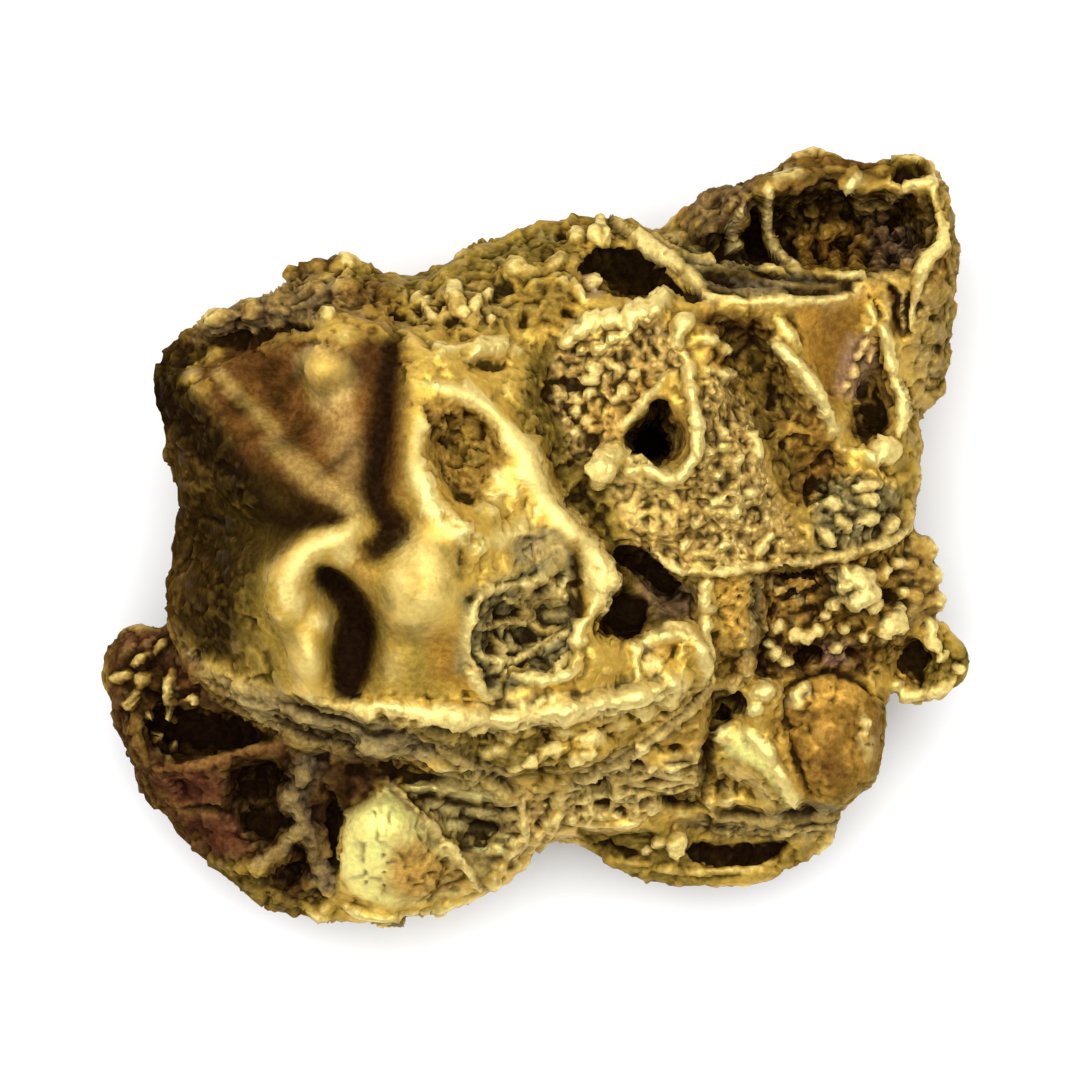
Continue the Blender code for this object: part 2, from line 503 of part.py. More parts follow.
def shoulder_ridges(ground):
    """The ledge and the crossing seam of the rough shoulder."""
    yield ridge(ground, 0.11, (-0.5, 3.42), (-0.25, 3.33), (0.3, 3.45))
    yield ridge(ground, 0.12, (1.0, 3.95), (1.4, 3.7), (1.8, 3.4), (2.1, 3.02))
    yield grain(ground, 0.74, 3.85, 0.13)
    yield grain(ground, 0.65, 3.2, 0.13)


def right_ridges(ground):
    """The sharp seams of the angular block."""
    yield ridge(ground, 0.14, (0.3, 2.5), (0.65, 2.7), (1.3, 2.8), (1.6, 3.0))
    yield ridge(ground, 0.1, (0.8, 2.38), (1.25, 2.62))
    yield grain(ground, 1.78, 2.62, 0.15)
    yield ridge(ground, 0.11, (1.72, 2.35), (1.88, 2.0), (1.97, 1.6), (2.05, 1.3),
                (1.92, 0.88), (1.55, 0.8), (1.15, 0.85), (0.95, 1.05))
    yield grain(ground, 0.75, 0.92, 0.18)
    yield ridge(ground, 0.09, (0.85, 1.25), (1.2, 1.62), (1.62, 2.05))
    yield ridge(ground, 0.11, (2.95, 2.75), (3.02, 2.4), (3.3, 2.1), (3.48, 1.7),
                (3.66, 1.35))
    yield ridge(ground, 0.12, (4.1, 2.85), (4.28, 2.6), (4.4, 2.25), (4.44, 1.85),
                (4.54, 1.35), (4.25, 1.1))
    yield ridge(ground, 0.1, (1.4, -0.12), (1.9, -0.38), (2.5, -0.33), (3.1, -0.28),
                (3.7, -0.18), (4.25, -0.02), (4.58, 0.2))
    yield ridge(ground, 0.1, (2.1, 3.0), (2.6, 3.0), (3.4, 2.96), (3.85, 3.05), (4.3, 3.12))
    yield ridge(ground, 0.11, (3.8, 0.35), (4.1, 0.47), (4.4, 0.42))
    for x, y in ((4.07, 2.35), (3.97, 2.08), (3.9, 1.85)):
        yield grain(ground, x, y, 0.12)


def bowl_ridges(ground):
    """The rim of the bowl, and the fins, strips and crumbs inside it."""
    yield ridge(ground, 0.14, (4.75, 4.68), (5.02, 4.5), (5.02, 4.1), (5.0, 3.65),
                (4.75, 3.38), (4.7, 3.05), (4.72, 2.6))
    yield ridge(ground, 0.12, (2.05, 4.3), (2.5, 4.42), (3.0, 4.5), (3.5, 4.62), (4.2, 4.62))
    yield ridge(ground, 0.12, (2.85, 4.35), (2.87, 3.9), (3.0, 3.6), (3.25, 3.38))
    yield ridge(ground, 0.1, (2.58, 4.12), (2.42, 3.85), (2.5, 3.62))
    for rise in (0.0, 0.12, 0.24):
        yield ridge(ground, 0.09, (1.95, 3.25 + rise), (2.7, 3.14 + rise), (3.9, 3.14 + rise))
    yield grain(ground, 3.5, 3.9, 0.35)
    yield grain(ground, 4.25, 3.8, 0.28)


def near_ridges(ground):
    """The grains and lips from the crumbly ground down to the cup."""
    yield grain(ground, 4.15, -0.75, 0.15)
    yield ridge(ground, 0.12, (2.9, -1.08), (3.3, -1.15), (3.55, -1.0), (3.72, -0.75))
    yield ridge(ground, 0.11, (4.9, -1.02), (5.02, -1.3), (5.12, -1.5))
    yield ridge(ground, 0.13, (4.45, -1.78), (4.72, -1.9), (5.1, -1.78), (5.28, -1.55))
    yield ridge(ground, 0.1, (2.88, -1.75), (2.95, -2.0), (3.05, -2.3))
    yield ridge(ground, 0.1, (1.6, -3.36), (2.3, -3.46), (3.0, -3.46), (3.7, -3.38))
    yield ridge(ground, 0.1, (1.4, -3.52), (1.7, -3.64), (2.1, -3.76), (2.6, -3.79),
                (3.15, -3.75), (3.68, -3.55))
    yield grain(ground, 1.7, -3.78, 0.17)
    yield grain(ground, 1.68, -3.98, 0.14)


def lower_left_ridges(ground):
    """The forked seam, the ledges and the rims of the lower block."""
    yield ridge(ground, 0.13, (-5.1, -2.15), (-5.02, -2.6), (-4.88, -2.9))
    yield ridge(ground, 0.1, (-4.95, -2.83), (-4.5, -2.83), (-4.1, -2.74), (-3.6, -2.6),
                (-3.15, -2.5))
    yield ridge(ground, 0.12, (-4.65, -1.95), (-4.4, -2.0), (-4.1, -2.08))
    yield ridge(ground, 0.12, (-2.95, -2.75), (-3.1, -3.1), (-2.98, -3.5), (-2.78, -3.9),
                (-2.6, -4.3))
    yield ridge(ground, 0.1, (-3.0, -3.45), (-3.4, -3.9), (-3.65, -4.05), (-4.0, -4.03))
    yield ridge(ground, 0.1, (-1.82, -3.1), (-1.5, -3.5), (-1.1, -3.95), (-0.82, -4.28))
    yield ridge(ground, 0.13, (-0.1, -3.3), (-0.3, -3.85), (-0.7, -4.32))
    yield ridge(ground, 0.15, (-3.4, -4.42), (-2.9, -4.5), (-2.3, -4.62), (-1.6, -4.55),
                (-1.0, -4.45))


# How the forms become one solid.


def mesh_object(name, shapes):
    """One object holding all these shapes, still overlapping."""
    mesh = bpy.data.meshes.new(name)
    gathered = bmesh.new()
    for shape in shapes:
        shape.to_mesh(mesh)
        gathered.from_mesh(mesh)
        shape.free()
    gathered.to_mesh(mesh)
    gathered.free()
    made = bpy.data.objects.new(name, mesh)
    bpy.context.scene.collection.objects.link(made)
    return made


def apply_modifiers(target):
    """Give the object the mesh that its modifiers make."""
    graph = bpy.context.evaluated_depsgraph_get()
    mesh = bpy.data.meshes.new_from_object(target.evaluated_get(graph))
    used = target.data
    target.modifiers.clear()
    target.data = mesh
    bpy.data.meshes.remove(used)


def fuse(target):
    """Make one skin of everything in the object."""
    remesh = target.modifiers.new("fuse", "REMESH")
    remesh.mode = "VOXEL"
    remesh.voxel_size = VOXEL * MM
    apply_modifiers(target)


def soften(target, rounds):
    """Round the edges a little."""
    smooth = target.modifiers.new("soften", "SMOOTH")
    smooth.factor = SOFTENING
    smooth.iterations = rounds
    apply_modifiers(target)


def ripple(target):
    """Give the faces slow waves, as on metal that filled cracks in rock."""
    waves = bpy.data.textures.new("waves", "CLOUDS")
    waves.noise_scale = WAVE_WIDTH * MM
    waves.noise_depth = 1
    displace = target.modifiers.new("ripple", "DISPLACE")
    displace.texture = waves
    displace.texture_coords = "LOCAL"
    displace.strength = WAVE_DEPTH * MM
    displace.mid_level = WAVE_MIDDLE
    apply_modifiers(target)


def cut(target, cutter):
    """Take the cutter away from the object."""
    boolean = target.modifiers.new("cut", "BOOLEAN")
    boolean.operation = "DIFFERENCE"
    boolean.object = cutter
    apply_modifiers(target)
    bpy.data.objects.remove(cutter)


def add_shapes(target, shapes):
    """Put more shapes into the object and fuse them."""
    extra = mesh_object("extra", shapes)
    both = bmesh.new()
    both.from_mesh(target.data)
    both.from_mesh(extra.data)
    both.to_mesh(target.data)
    both.free()
    bpy.data.objects.remove(extra)
    fuse(target)


def take_shapes(target, shapes):
    """Fuse the shapes, then cut them from the object."""
    hollow = mesh_object("hollow", shapes)
    fuse(hollow)
    cut(target, hollow)


def surface_of(target):
    """The object's surface, to be asked for heights."""
    return BVHTree.FromObject(target, bpy.context.evaluated_depsgraph_get())


def placed_on(target, regions):
    """All the shapes that these regions place on the object's surface."""
    ground = surface_of(target)
    return [shape for region in regions for shape in region(ground)]


def flank_shapes(target, count, chance, top, widths, relief):
    """Flattened lumps at random places on the flanks and the underside, below the top."""
    tree = surface_of(target)
    side, back, level = FLANK_AIM
    made = []
    while len(made) < count:
        aim = Vector((chance.uniform(-side, side), chance.uniform(-back, back), level)) * MM
        upward = chance.gauss(FLANK_TILT, FLANK_SPREAD)
        way = Vector((chance.gauss(0, 1), chance.gauss(0, 1), upward))
        way.normalize()
        place, facing, _, _ = tree.ray_cast(aim + way * ABOVE_ALL * MM, -way)
        if place is None or place.z > top * MM or facing.z > FLANK_FACING:
            continue
        width = chance.uniform(*widths)
        radii = (width, width * chance.uniform(FLANK_OVAL, 1.0), width * relief)
        turn = [math.degrees(angle) for angle in facing.to_track_quat("Z", "X").to_euler()]
        made.append(lump(place / MM, radii, turn))
    return made


def flatten_underside(target):
    """Cut off what is below the resting plane."""
    sides = (-FLOOR_BOX, FLOOR_BOX)
    corners = [(x, y, z) for x in sides for y in sides for z in (-FLOOR_DEPTH, 0)]
    cut(target, mesh_object("floor", [block(*corners)]))


def thin(target):
    """Keep only the triangles that the forms need."""
    decimate = target.modifiers.new("thin", "DECIMATE")
    decimate.use_collapse_triangulate = True
    decimate.ratio = MOST_TRIANGLES / (2 * len(target.data.polygons))
    apply_modifiers(target)


def settle(target):
    """Centre the nugget over the origin."""
    xs = [v.co.x for v in target.data.vertices]
    ys = [v.co.y for v in target.data.vertices]
    middle = Vector(((min(xs) + max(xs)) / 2, (min(ys) + max(ys)) / 2, 0))
    target.data.transform(Matrix.Translation(-middle))


def gold_material():
    """Native gold."""
    material = bpy.data.materials.new("native_gold")
    material.use_nodes = True
    shader = material.node_tree.nodes["Principled BSDF"]
    shader.inputs["Base Color"].default_value = GOLD
    shader.inputs["Metallic"].default_value = 1.0
    shader.inputs["Roughness"].default_value = GOLD_ROUGHNESS
    return material


def gold_nugget():
    """The whole nugget."""
    chance = random.Random(SEED)
    masses = (
        left_lobe, heart, middle_mound, right_block, top_right_bowl, porous_middle,
        dome_and_ledges, cup, lower_left_block, underside,
    )
    hollows = (
        lobe_hollows, shoulder_hollows, right_hollows, bowl_hollows, near_hollows,
        lower_left_hollows,
    )
    ridges = (
        lobe_ridges, shoulder_ridges, right_ridges, bowl_ridges, near_ridges,
        lower_left_ridges,
    )
    nugget = mesh_object("gold_nugget", [shape for mass in masses for shape in mass()])
    fuse(nugget)
    soften(nugget, MASS_SOFTENING)
    ripple(nugget)
    lumps = flank_shapes(nugget, FLANK_LUMPS, chance, LUMPS_TOP, LUMP_WIDTHS, LUMP_RELIEF)
    add_shapes(nugget, lumps)
    pits = flank_shapes(nugget, FLANK_PITS, chance, PITS_TOP, PIT_WIDTHS, PIT_RELIEF)
    take_shapes(nugget, placed_on(nugget, hollows) + pits)
    add_shapes(nugget, placed_on(nugget, ridges))
    soften(nugget, LAST_SOFTENING)
    thin(nugget)
    flatten_underside(nugget)
    settle(nugget)
    nugget.data.materials.clear()
    nugget.data.materials.append(gold_material())
    nugget.data.shade_smooth()
    nugget.data.set_sharp_from_angle(angle=math.radians(SHARP_ANGLE))
    return nugget


def main():
    for old in list(bpy.data.objects):
        bpy.data.objects.remove(old)
    nugget = gold_nugget()
    home = bpy.data.collections.new("gold_nugget")
    bpy.context.scene.collection.children.link(home)
    bpy.context.scene.collection.objects.unlink(nugget)
    home.objects.link(nugget)


main()
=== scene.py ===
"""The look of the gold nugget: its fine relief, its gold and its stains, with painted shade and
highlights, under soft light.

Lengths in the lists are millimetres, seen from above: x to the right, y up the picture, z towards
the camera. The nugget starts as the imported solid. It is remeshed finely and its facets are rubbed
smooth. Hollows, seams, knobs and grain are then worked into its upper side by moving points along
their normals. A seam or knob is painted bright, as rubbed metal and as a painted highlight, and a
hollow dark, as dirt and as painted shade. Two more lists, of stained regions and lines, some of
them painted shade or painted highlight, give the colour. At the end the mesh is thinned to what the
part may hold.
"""

import itertools
import math

import bmesh
import bpy
import numpy as np
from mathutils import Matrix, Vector


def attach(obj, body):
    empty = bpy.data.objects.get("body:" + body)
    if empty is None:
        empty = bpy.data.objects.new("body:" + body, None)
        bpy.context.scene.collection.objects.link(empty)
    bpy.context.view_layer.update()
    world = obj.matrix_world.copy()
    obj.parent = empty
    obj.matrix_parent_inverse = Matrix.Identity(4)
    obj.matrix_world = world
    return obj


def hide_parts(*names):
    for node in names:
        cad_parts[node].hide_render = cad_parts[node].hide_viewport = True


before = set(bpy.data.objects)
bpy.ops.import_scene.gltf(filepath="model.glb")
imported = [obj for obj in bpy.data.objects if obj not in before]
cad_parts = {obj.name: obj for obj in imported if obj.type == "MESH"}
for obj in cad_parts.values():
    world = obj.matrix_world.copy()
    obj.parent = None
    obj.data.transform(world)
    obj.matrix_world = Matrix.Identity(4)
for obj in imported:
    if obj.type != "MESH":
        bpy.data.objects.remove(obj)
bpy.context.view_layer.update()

NODE = "gold_nugget"
MM = 0.001
CELL = 0.046
PATH_STEP = 0.05
FAR = 9.0

# The map of the highest point over each place, which tells what is hidden from above.
MAP_CELL = 0.06
MAP_CELLS = 280
MAP_REACH = 8

# Thinning: the underside, whose normals point down past this, is collapsed first.
MOST_TRIANGLES = 192000
UNDERSIDE = -0.3
UNDERSIDE_WEIGHT = 1.0
OPEN_WEIGHT = 0.6
WEIGHT_FACTOR = 0.004

# Whole numbers that scatter the seeds of the noise.
CELL_PRIMES = (73856093, 19349663, 83492791)
SALT_STEP = 40503
SCATTER = 1274126177
SEED_SALTS = (11, 23, 37)
TILT_SALTS = (51, 63, 77)

# Gold and its stains, as linear red, green and blue; some of these colours are painted light and
# shade.
GOLD = (0.72, 0.47, 0.075)
# Pale gold: rubbed metal, and a painted highlight on crests and lit faces.
PALE_GOLD_AND_HIGHLIGHT = (0.94, 0.77, 0.28)
# A painted highlight, on faces turned to the light.
HIGHLIGHT_GOLD = (1.0, 0.88, 0.28)
TAN = (0.52, 0.37, 0.12)
OLIVE = (0.20, 0.14, 0.024)
GREY = (0.28, 0.22, 0.09)
GREEN = (0.23, 0.20, 0.08)
BROWN = (0.12, 0.05, 0.012)
RUST = (0.36, 0.18, 0.025)
ORANGE = (0.68, 0.39, 0.07)
ASH = (0.13, 0.10, 0.055)
RED = (0.06, 0.023, 0.01)
PLUM = (0.10, 0.032, 0.016)
PINK = (0.45, 0.28, 0.19)
# Near-black: dark dirt, and painted shade in hollows and on the dark flank.
SOOT_AND_SHADE = (0.015, 0.007, 0.002)


# ---------------------------------------------------------------- meshes as arrays


def points_of(mesh):
    flat = np.empty(len(mesh.vertices) * 3)
    mesh.vertices.foreach_get("co", flat)
    return flat.reshape(-1, 3)


def put_points(mesh, points):
    mesh.vertices.foreach_set("co", points.ravel())
    mesh.update()


def edges_of(mesh):
    flat = np.empty(len(mesh.edges) * 2, np.int32)
    mesh.edges.foreach_get("vertices", flat)
    return flat.reshape(-1, 2)


def normals_of(mesh):
    flat = np.empty(len(mesh.vertices) * 3)
    mesh.vertex_normals.foreach_get("vector", flat)
    return flat.reshape(-1, 3)


def spread(values, edges, rounds, share=1.0):
    """Average each point's value with its neighbours' values, this many times."""
    one, two = edges[:, 0], edges[:, 1]
    count = len(values)
    near = np.bincount(one, minlength=count) + np.bincount(two, minlength=count)
    columns = np.array(values, float).reshape(count, -1)
    for _ in range(rounds):
        for c in range(columns.shape[1]):
            column = columns[:, c]
            total = np.bincount(one, column[two], count) + np.bincount(two, column[one], count)
            columns[:, c] = column + share * (total / near - column)
    return columns.reshape(np.shape(values))


def modified(holder):
    """Give the object the mesh that its modifiers make."""
    graph = bpy.context.evaluated_depsgraph_get()
    mesh = bpy.data.meshes.new_from_object(holder.evaluated_get(graph))
    used = holder.data
    holder.modifiers.clear()
    holder.data = mesh
    bpy.data.meshes.remove(used)


def remesh(holder, size):
    modifier = holder.modifiers.new("remesh", "REMESH")
    modifier.mode = "VOXEL"
    modifier.voxel_size = size
    modified(holder)


def rubbed(points, edges, rounds):
    """Round the edges without drawing the whole form in."""
    for _ in range(rounds):
        points = spread(points, edges, 1, 0.5)
        points = spread(points, edges, 1, -0.52)
    return points


# ---------------------------------------------------------------- seeded noise


def chance_at(cells, salt):
    """A number from 0 to 1 that belongs to each whole-numbered cell."""
    x, y, z = (cells[:, c].astype(np.uint32) * np.uint32(CELL_PRIMES[c]) for c in range(3))
    mixed = x ^ y ^ z ^ np.uint32(salt * SALT_STEP + 1)
    mixed = (mixed ^ (mixed >> np.uint32(13))) * np.uint32(SCATTER)
    return (mixed ^ (mixed >> np.uint32(16))) / 2.0**32


def seeds_near(points, size, salt):
    """For each of the 27 cells about the points: the cell, and the way to its seed's point."""
    place = points / size
    low = np.floor(place).astype(np.int64)
    for corner in itertools.product((-1, 0, 1), repeat=3):
        cell = low + np.array(corner)
        seed = np.stack([chance_at(cell, salt + axis) for axis in SEED_SALTS], axis=1)
        yield cell, place - (cell + 0.1 + 0.8 * seed)


def waves(points, size, salt=0):
    """Smooth noise from -1 to 1, with lumps about this wide."""
    place = points / size
    low = np.floor(place).astype(np.int64)
    t = place - low
    t = t * t * (3 - 2 * t)
    total = np.zeros(len(points))
    for corner in itertools.product((0, 1), repeat=3):
        share = np.prod(np.where(corner, t, 1 - t), axis=1)
        total += share * chance_at(low + np.array(corner), salt)
    return 2 * total - 1


def rough(points, size, salt=0):
    """Noise of three sizes, the finest a quarter as wide as the largest."""
    total = waves(points, size, salt) + 0.55 * waves(points, size / 2, salt + 1)
    return (total + 0.3 * waves(points, size / 4, salt + 2)) / 1.85


def pebbles(points, size, salt=0):
    """Rounded grains of this width: 1 on their tops, 0 in the seams between them."""
    first = np.full(len(points), FAR)
    second = first.copy()
    tall = np.zeros(len(points))
    for cell, off in seeds_near(points, size, salt):
        gap = (off**2).sum(1)
        second = np.minimum(second, np.maximum(first, gap))
        tall = np.where(gap < first, 0.35 + 0.65 * chance_at(cell, salt + 5), tall)
        first = np.minimum(first, gap)
    return tall * np.clip((np.sqrt(second) - np.sqrt(first)) * 1.6, 0, 1) ** 0.6


def worms(points, size, salt=0):
    """Short rounded ridges that run every way: 1 along their tops, 0 between them."""
    total = np.zeros(len(points))
    for turn in (0, 1):
        field = waves(points, size * (1 - 0.25 * turn), salt + turn)
        ridge = 1 - np.clip(np.abs(field) * 3.4, 0, 1)
        broken = step_up(-0.3, 0.25, waves(points, 1.1 * size, salt + 7 + turn))
        total = np.maximum(total, ridge * broken)
    return total**0.7


def warped(points, size, share, salt=0):
    """The points, shifted by up to this share of the size, so that a pattern on them bends."""
    shift = np.stack([waves(points, size, salt + axis) for axis in range(3)], axis=1)
    return points + share * size * shift


def crystals(points, size, salt=0):
    """Flat-faced crystals of about this width, each tilted its own way: -1 to 1."""
    nearest = np.full(len(points), FAR)
    height = np.zeros(len(points))
    for cell, off in seeds_near(points, size, salt):
        tilt = np.stack([chance_at(cell, salt + axis) for axis in TILT_SALTS], axis=1) - 0.5
        gap = (off**2).sum(1)
        closer = gap < nearest
        nearest = np.where(closer, gap, nearest)
        face = 2.4 * (off * tilt).sum(1) + 0.6 * (chance_at(cell, salt + 91) - 0.5)
        height = np.where(closer, face, height)
    return height


# ---------------------------------------------------------------- working the surface


def smooth_path(corners):
    """Points every PATH_STEP along a smooth path through the corners."""
    ends = [corners[0], *corners, corners[-1]]
    points = []
    for before, start, end, after in zip(ends, ends[1:], ends[2:], ends[3:]):
        a, b, c, d = (np.array(p, float) for p in (before, start, end, after))
        steps = max(1, round(float(np.linalg.norm(c - b)) / PATH_STEP))
        for step in range(steps):
            t = step / steps
            pull = (c - a) * t + (2 * a - 5 * b + 4 * c - d) * t**2
            pull += (3 * b - a - 3 * c + d) * t**3
            points.append(b + pull / 2)
    return np.array([*points, np.array(corners[-1], float)])


def step_up(low, high, value):
    """0 below low, 1 above high, smooth between."""
    t = np.clip((value - low) / (high - low), 0, 1)
    return t * t * (3 - 2 * t)


class Skin:
    """The nugget's surface, whose upper side is worked by lists of forms placed in plan."""

    def __init__(self, mesh):
        self.mesh = mesh
        self.edges = edges_of(mesh)
        points = points_of(mesh)
        self.ragged = rough(points, 0.5, 5)
        self.torn = crystals(points, 0.22, 15)
        self.lumpy = waves(points, 0.26, 25) + 0.5 * waves(points, 0.12, 26)
        # Where raised forms are painted bright, as rubbed metal and painted highlight, and where
        # cut forms are painted dark, as dirt and painted shade.
        self.clean = np.zeros(len(points))
        self.dirt_and_shade = np.zeros(len(points))
        self.start()

    def start(self):
        """Measure the surface as it now is, with no form raised or cut."""
        self.points = points_of(self.mesh)
        self.normals = normals_of(self.mesh)
        self.up = self.normals[:, 2]
        self.raised = np.zeros(len(self.points))
        self.cut = np.zeros(len(self.points))
        self.way = spread(self.normals, self.edges, 6)
        self.way /= np.linalg.norm(self.way, axis=1)[:, None]
        self.seen = self.on_top()

    def on_top(self):
        """1 where the point is seen from above, 0 where something hides it."""
        cells = np.floor((self.points[:, :2] + MAP_REACH) / MAP_CELL).astype(int)
        top = np.full((MAP_CELLS, MAP_CELLS), -FAR)
        np.maximum.at(top, (cells[:, 0], cells[:, 1]), self.points[:, 2])
        gap = top[cells[:, 0], cells[:, 1]] - self.points[:, 2]
        return (1 - step_up(0.25, 0.5, gap)) * step_up(-0.05, 0.25, self.up)

    def near(self, xs, ys, reach):
        """The points within reach of these places in plan, seen from above."""
        x, y = self.points[:, 0], self.points[:, 1]
        inside = (x > min(xs) - reach) & (x < max(xs) + reach)
        inside &= (y > min(ys) - reach) & (y < max(ys) + reach) & (self.seen > 0)
        return np.nonzero(inside)[0]

    def along(self, corners, reach):
        """Points near the path, their distance from it, and their place along it, 0 to 1."""
        path = smooth_path(corners)
        picked = self.near(path[:, 0], path[:, 1], reach)
        if not len(picked):
            return picked, np.zeros(0), np.zeros(0)
        a, b = path[:-1], path[1:]
        run = b - a
        from_a = self.points[picked, None, :2] - a[None]
        t = np.clip((from_a * run).sum(2) / np.maximum((run**2).sum(1), 1e-12), 0, 1)
        gap = np.linalg.norm(from_a - t[:, :, None] * run, axis=2)
        best = gap.argmin(1)
        rows = np.arange(len(picked))
        return picked, gap[rows, best], (best + t[rows, best]) / len(a)

    def seam(self, width, height, *corners, shine=1.0, soft=False):
        """A raised seam of this half-width, thinner at its ends."""
        picked, gap, place = self.along(corners, width * 1.3)
        swell = 0.45 + 0.55 * (1 - np.abs(2 * place - 1) ** 3)
        swell *= 1 + (0.12 if soft else 0.3) * self.ragged[picked]
        swell *= 1 + 0.28 * self.lumpy[picked] + (0 if soft else 0.2) * self.torn[picked]
        form = np.clip(1 - (gap / (width * swell)) ** 2, 0, 1)
        lift = height * swell * form ** (1.4 if soft else 0.8)
        self.raised[picked] = np.maximum(self.raised[picked], lift)
        # The seam's top is painted bright: rubbed metal and painted highlight.
        bright = shine * step_up(0.1, 0.8, form) * (1 + 0.35 * np.minimum(self.lumpy[picked], 0))
        self.clean[picked] = np.maximum(self.clean[picked], bright)

    def slot(self, width, depth, *corners, dirt_and_shade=1.0, soft=False):
        """A groove of this half-width, cut to this depth."""
        picked, gap, place = self.along(corners, width * 1.6)
        swell = 0.5 + 0.5 * (1 - np.abs(2 * place - 1) ** 3)
        swell *= 1 + (0.15 if soft else 0.4) * self.ragged[picked]
        swell *= 1 + (0 if soft else 0.25) * self.torn[picked]
        form = 1 - step_up(0 if soft else 0.35, 1.2, gap / (width * swell))
        self.cut[picked] = np.maximum(self.cut[picked], depth * swell * form)
        # The groove is painted dark: dirt and painted shade.
        self.dirt_and_shade[picked] = np.maximum(self.dirt_and_shade[picked], dirt_and_shade * form)

    def oval(self, x, y, wide, long, turn, reach):
        """Points near an oval, and how far out they lie, 1 on its edge."""
        most = max(wide, long) * reach
        picked = self.near([x], [y], most)
        c, s = math.cos(math.radians(turn)), math.sin(math.radians(turn))
        dx = self.points[picked, 0] - x
        dy = self.points[picked, 1] - y
        out = np.hypot((c * dx + s * dy) / wide, (c * dy - s * dx) / long)
        edge = 0.25 * self.ragged[picked] + 0.15 * self.torn[picked] + 0.15 * self.lumpy[picked]
        return picked, np.maximum(out + edge, 0)

    def dip(self, x, y, wide, long, depth, turn=0, dirt_and_shade=1.0):
        """A hollow of these half-widths."""
        picked, out = self.oval(x, y, wide, long, turn, 1.6)
        form = 1 - step_up(0.15, 1.25, out)
        self.cut[picked] = np.maximum(self.cut[picked], depth * form)
        # The hollow is painted dark: dirt and painted shade.
        self.dirt_and_shade[picked] = np.maximum(self.dirt_and_shade[picked], dirt_and_shade * form)

    def knob(self, x, y, wide, height, long=None, turn=0, shine=1.0, soft=False):
        """A rounded knob of this half-width."""
        picked, out = self.oval(x, y, wide, long or wide, turn, 1.3)
        form = np.clip(1 - out**2, 0, 1)
        lift = height * form ** (1.1 if soft else 0.6)
        self.raised[picked] = np.maximum(self.raised[picked], lift)
        # The knob's top is painted bright: rubbed metal and painted highlight.
        self.clean[picked] = np.maximum(self.clean[picked], shine * step_up(0.05, 0.6, form))

    def inside(self, soft, *corners):
        """How much each point lies inside this outline in plan, fading over its edge."""
        outline = np.array(corners, float)
        margin = 0.2 + 2 * soft
        plan = self.points[:, :2]
        close = (plan > outline.min(0) - margin) & (plan < outline.max(0) + margin)
        picked = np.nonzero(close.all(1))[0]
        xy = plan[picked]
        within = np.zeros(len(xy), bool)
        gap = np.full(len(xy), FAR)
        for a, b in zip(outline, np.roll(outline, -1, 0)):
            crosses = (a[1] > xy[:, 1]) != (b[1] > xy[:, 1])
            slope = (b[0] - a[0]) / ((b[1] - a[1]) or 1e-9)
            within ^= crosses & (xy[:, 0] < a[0] + (xy[:, 1] - a[1]) * slope)
            run = b - a
            t = np.clip((xy - a) @ run / (run @ run), 0, 1)
            gap = np.minimum(gap, np.linalg.norm(xy - a - t[:, None] * run, axis=1))
        signed = np.where(within, gap, -gap) + (0.06 + 0.4 * soft) * self.ragged[picked]
        weight = np.zeros(len(plan))
        weight[picked] = step_up(-soft, soft, signed + 0.3 * soft * self.torn[picked])
        return weight

    def stroke(self, width, *corners):
        """How much each point lies under a brush stroke of this half-width."""
        weight = np.zeros(len(self.points))
        picked, gap, place = self.along(corners, width * 1.8)
        edge = 0.35 * self.ragged[picked] + 0.2 * self.torn[picked]
        weight[picked] = 1 - step_up(0.4, 1.3, gap / width + edge)
        return weight

    def fill(self, x, y, wide, long, deepest, turn=0):
        """Raise a pit's floor, so that it is no deeper than this in its middle."""
        c, s = math.cos(math.radians(turn)), math.sin(math.radians(turn))
        dx, dy, z = self.points[:, 0] - x, self.points[:, 1] - y, self.points[:, 2]
        out = np.hypot((c * dx + s * dy) / wide, (c * dy - s * dx) / long)
        level = np.median(z[(out > 1) & (out < 1.2) & (self.seen > 0.5)])
        pit = (out < 1) & (z > level - 2.5)
        floor = level - deepest * (1 - out[pit] ** 2)
        self.points[pit, 2] = np.maximum(z[pit], floor)
        put_points(self.mesh, self.points)
        self.start()

    def heal(self, rounds, soft, *corners):
        """Smooth the surface inside this outline, down to the sides."""
        weight = self.inside(soft, *corners) * step_up(-0.7, -0.3, self.up)
        weight *= step_up(0.3, 0.6, self.points[:, 2])
        touched = self.edges[(weight[self.edges] > 0).any(1)]
        ids, flat = np.unique(touched, return_inverse=True)
        flat = flat.reshape(-1, 2)
        values = self.points[ids]
        share = weight[ids][:, None]
        for _ in range(rounds):
            values += share * (spread(values, flat, 1) - values)
        self.points[ids] = values
        put_points(self.mesh, self.points)
        self.start()

    def press(self):
        """Move the points as the forms so far say, and start afresh."""
        lift = (self.raised - self.cut) * self.seen
        put_points(self.mesh, self.points + self.way * lift[:, None])
        self.start()


# ---------------------------------------------------------------- the fine forms

# A soft form fades into its ground; a hard one has a ragged edge.
SOFT, HARD = True, False

